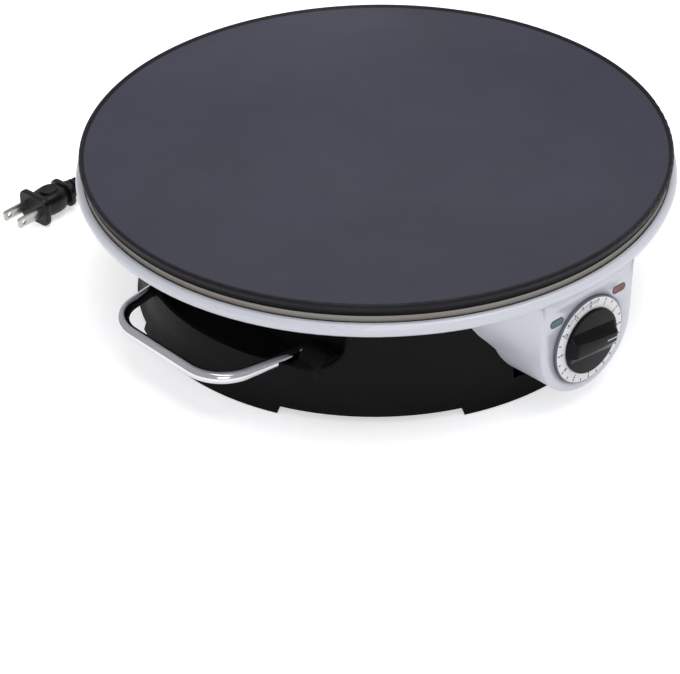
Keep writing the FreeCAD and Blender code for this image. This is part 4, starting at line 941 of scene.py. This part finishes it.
class CREPE_OT_plug(bpy.types.Operator):
    """Make the moulded plug and its two flat blades"""
    bl_idname = "crepe.plug"
    bl_label = "Make plug"

    def execute(self, context):
        place = Matrix.Translation(PLUG_END * 0.001) @ Matrix.Rotation(math.radians(PLUG_TURN), 4, "Z")
        place = place @ shift(-PLUG_LENGTH, 0, 0) @ ALONG
        shape = ((0.0, 22.6, 17.0, 3.9), (0.3, 23.5, 17.9, 4.3), (0.9, 24.0, 18.4, 4.5), (3.1, 24.0, 18.4, 4.5),
                 (3.7, 23.5, 17.9, 4.3), (4.0, 22.6, 17.0, 3.9), (4.1, 17.6, 13.2, 4.4), (5.2, 17.0, 13.0, 4.6),
                 (8.0, 17.8, 13.7, 4.9), (12.0, 18.8, 14.3, 5.2), (15.0, 19.0, 14.5, 5.3),
                 (18.5, 18.2, 13.9, 5.2), (21.5, 16.0, 12.2, 4.9), (23.4, 14.6, 11.2, 4.6),
                 (23.5, 18.4, 12.9, 4.0), (23.8, 19.2, 13.7, 4.3), (24.3, 19.5, 14.0, 4.5),
                 (26.0, 19.5, 14.0, 4.5), (26.5, 19.0, 13.5, 4.3), (26.7, 17.8, 12.3, 3.9),
                 (26.8, 10.4, 10.0, 4.6), (28.0, 9.4, 9.4, 4.5), (43.9, 7.4, 7.4, 3.6), (44.2, 7.0, 7.0, 3.4))
        rings = [placed(box_ring(width, height, corner, depth, 6), place)
                 for depth, width, height, corner in shape]
        body = lofted(rings, "plug body", "plug_black")
        rib = soft_outline([(2.5, -1.05, 0), (5.9, -1.05, 0.45), (5.85, 1.05, 0.45), (2.5, 1.05, 0)], 3)
        shrink = -0.062
        ribs = in_a_row(turned(rib, "plug rib", segments=48), 5, "plug_black", step=(0, 0, 3.5),
                        growth=(shrink, shrink, 0), place=place @ shift(0, 0, 29.15))
        bm = bmesh.new()
        for side in (-1, 1):
            stand = place @ shift(0, side * 6.9, 13.6) @ Matrix.Rotation(-side * math.pi / 2, 4, "X")
            pad = [placed([(width / 2 * math.cos(angle), length / 2 * math.sin(angle), height)
                           for angle in full_turn(48)], stand) for length, width, height in
                   ((12.4, 10.2, 0.0), (12.2, 10.0, 1.0), (11.8, 9.6, 1.2), (10.6, 8.4, 1.25),
                    (9.8, 7.6, 0.95), (4.0, 2.6, 0.85))]
            skin(bm, pad, True)
        plug = merged([body, ribs, mesh_from(bm, "grip pads", finish="plug_black")])
        finished(plug, "plug_moulding", "stand", "plug_black", ("plug_body",))
        bm = bmesh.new()
        bm.from_mesh(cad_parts["plug_blades"].data)
        bmesh.ops.remove_doubles(bm, verts=bm.verts, dist=1e-6)
        bmesh.ops.dissolve_limit(bm, angle_limit=0.01, verts=bm.verts, edges=bm.edges)
        blades = bpy.data.meshes.new("blades")
        bm.to_mesh(blades)
        bm.free()
        blades = bevelled(blades, 0.18, 2, 50)
        finished(blades, "flat_blades", "stand", "blade_metal", ("plug_blades",))
        return {"FINISHED"}


def coil_points(per_turn=24):
    """Places along the coil: in on the lower layer, up at its inside, and out on the upper one."""
    total = 2 * COIL_TURNS + 0.5
    inner = COIL_RADIUS - COIL_PITCH * COIL_TURNS
    points = []
    steps = int(round(total * per_turn))
    for i in range(steps + 1):
        turn = total * i / steps
        if turn <= COIL_TURNS:
            radius = COIL_RADIUS - COIL_PITCH * turn
            height = COIL.z
        elif turn <= COIL_TURNS + 0.5:
            radius = inner
            height = COIL.z + COIL_RISE * (1 - math.cos(math.pi * (turn - COIL_TURNS) / 0.5)) / 2
        else:
            radius = inner + COIL_PITCH * (turn - COIL_TURNS - 0.5)
            height = COIL.z + COIL_RISE
        angle = math.pi / 2 - 2 * math.pi * turn
        points.append((COIL.x + radius * math.cos(angle), COIL.y + radius * math.sin(angle), height))
    return points


def coil_tie():
    """A flat band of webbing round the side of the coil."""
    low, high = (corner * 1000 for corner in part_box("cord_tie"))
    place = Matrix.Translation((low + high) / 2 * 0.001) @ FACING
    width = high.x - low.x
    height = high.z - low.z
    rings = [placed(box_ring(width + 2 * grow, height + 2 * grow, corner, depth, 6), place)
             for grow, depth, corner in
             ((0.0, -3.9, 2.6), (0.0, 3.9, 2.6), (-0.15, 4.0, 2.5), (-0.65, 4.0, 2.1), (-0.8, 3.9, 2.0),
              (-0.8, -3.9, 2.0), (-0.65, -4.0, 2.1), (-0.15, -4.0, 2.5), (0.0, -3.9, 2.6))]
    tie = lofted(rings, "tie", capped=False)
    return finished(tie, "coil_tie", "stand", "tie_webbing", ("cord_tie",))


class CREPE_OT_cord(bpy.types.Operator):
    """Lay the mains cord: lead, coil and tail on one smooth line, with its tie"""
    bl_idname = "crepe.cord"
    bl_label = "Lay cord"

    def execute(self, context):
        radius = settings().cord_radius
        points = CORD_LEAD + coil_points() + CORD_TAIL
        curve = bpy.data.curves.new("mains_cord", "CURVE")
        curve.dimensions = "3D"
        spline = curve.splines.new("NURBS")
        spline.points.add(len(points) - 1)
        for spot, point in zip(spline.points, points):
            spot.co = (*mm(*point), 1.0)
        spline.order_u = 3
        spline.use_endpoint_u = True
        spline.resolution_u = 6
        curve.bevel_depth = radius
        curve.bevel_resolution = 8
        curve.use_fill_caps = True
        curve.materials.append(FINISHES["cord_rubber"])
        cord = new_object("mains_cord", curve)
        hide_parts("cord_lead", "cord_coil", "cord_tail")
        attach(cord, "stand")
        tie = coil_tie()
        return {"FINISHED"}


def lamp(name, place, size, energy):
    """A round soft lamp turned towards the object."""
    aim = Vector((0, 0, 0.05))
    data = bpy.data.lights.new(name, "AREA")
    data.shape = "DISK"
    data.size = size
    data.energy = energy
    light = new_object(name, data)
    light.location = place
    light.rotation_euler = (Vector(place) - aim).to_track_quat("Z", "Y").to_euler()


def photo_camera(scene):
    """The camera at the photograph's viewing angle."""
    flat = math.cos(CAMERA_RISE)
    toward = Vector((-math.sin(CAMERA_AZIMUTH) * flat, -math.cos(CAMERA_AZIMUTH) * flat,
                     math.sin(CAMERA_RISE)))
    across = Vector((math.cos(CAMERA_AZIMUTH), -math.sin(CAMERA_AZIMUTH), 0))
    up = toward.cross(across)
    right = across * math.cos(CAMERA_ROLL) + up * math.sin(CAMERA_ROLL)
    upright = up * math.cos(CAMERA_ROLL) - across * math.sin(CAMERA_ROLL)
    data = bpy.data.cameras.new("camera")
    data.sensor_width = SENSOR
    data.lens = CAMERA_FOCAL * SENSOR
    data.shift_x, data.shift_y = CAMERA_SHIFT
    data.clip_start = 0.05
    data.clip_end = 50
    camera = new_object("camera", data)
    facing = Matrix((right, upright, toward)).transposed().to_4x4()
    camera.matrix_world = Matrix.Translation(toward * CAMERA_DISTANCE) @ facing
    scene.camera = camera


class CREPE_OT_stage(bpy.types.Operator):
    """Set the floor, the soft lamps and the camera"""
    bl_idname = "crepe.stage"
    bl_label = "Set the stage"

    def execute(self, context):
        s = settings()
        scene = context.scene
        scene.view_settings.view_transform = "Standard"
        floor_mesh = bpy.data.meshes.new("floor")
        floor_mesh.from_pydata([(-6, -6, 0), (6, -6, 0), (6, 6, 0), (-6, 6, 0)], [], [(0, 1, 2, 3)])
        floor = new_object("floor", floor_mesh)
        f = Finish("pale_floor", (0.86, 0.86, 0.87), 0.6, specular=0.2)
        f.set("Base Color", f.ramp(f.noise(3.0), (0.3, (0.855, 0.855, 0.862)), (0.7, (0.865, 0.865, 0.872))))
        path = f.add("ShaderNodeLightPath").outputs
        seen = f.math("MAXIMUM", path["Is Camera Ray"], path["Is Glossy Ray"])
        seen = f.math("MAXIMUM", seen, path["Is Transmission Ray"])
        glow = f.add("ShaderNodeEmission", {"Color": (1, 1, 1, 1), "Strength": 0.5})
        add = f.add("ShaderNodeAddShader", {0: f.shader.outputs[0], 1: glow.outputs[0]})
        mix = f.add("ShaderNodeMixShader", {0: seen, 1: f.shader.outputs[0], 2: add.outputs[0]})
        f.tree.links.new(mix.outputs[0], f.tree.nodes["Material Output"].inputs["Surface"])
        floor_mesh.materials.append(f.material)
        world = bpy.data.worlds.new("room")
        world.use_nodes = True
        sky = world.node_tree.nodes["Background"]
        sky.inputs["Color"].default_value = (1.0, 1.0, 1.0, 1.0)
        sky.inputs["Strength"].default_value = s.sky_level
        scene.world = world
        lamp("overhead", (0.1, -0.2, 1.7), 1.6, s.lamp_energy)
        lamp("front_left", (-1.5, -1.5, 1.1), 1.0, s.lamp_energy * 0.45)
        photo_camera(scene)
        return {"FINISHED"}


class CREPE_PT_panel(bpy.types.Panel):
    """Lists the crepe maker's pieces and settings"""
    bl_idname = "CREPE_PT_panel"
    bl_label = "Crepe Maker"
    bl_space_type = "VIEW_3D"
    bl_region_type = "UI"
    bl_category = "Crepe Maker"

    def draw(self, context):
        for name in CrepeMakerSettings.__annotations__:
            self.layout.prop(context.scene.crepe_maker, name)
        for operator in STEPS:
            self.layout.operator(operator.bl_idname)


STEPS = (CREPE_OT_finishes, CREPE_OT_stage, CREPE_OT_inner_parts, CREPE_OT_plate, CREPE_OT_housing,
         CREPE_OT_base, CREPE_OT_feet_and_screws, CREPE_OT_handles, CREPE_OT_dial, CREPE_OT_knob,
         CREPE_OT_lenses, CREPE_OT_boot, CREPE_OT_plug, CREPE_OT_cord)
CLASSES = (CrepeMakerSettings,) + STEPS + (CREPE_PT_panel,)


def register():
    for item in CLASSES:
        bpy.utils.register_class(item)
    bpy.types.Scene.crepe_maker = PointerProperty(type=CrepeMakerSettings)


def unregister():
    del bpy.types.Scene.crepe_maker
    for item in reversed(CLASSES):
        bpy.utils.unregister_class(item)


def main():
    register()
    bpy.ops.crepe.finishes()
    bpy.ops.crepe.stage()
    bpy.ops.crepe.inner_parts()
    bpy.ops.crepe.plate()
    bpy.ops.crepe.housing()
    bpy.ops.crepe.base()
    bpy.ops.crepe.feet_and_screws()
    bpy.ops.crepe.handles()
    bpy.ops.crepe.dial()
    bpy.ops.crepe.knob()
    bpy.ops.crepe.lenses()
    bpy.ops.crepe.boot()
    bpy.ops.crepe.plug()
    bpy.ops.crepe.cord()


if __name__ == "__main__":
    main()
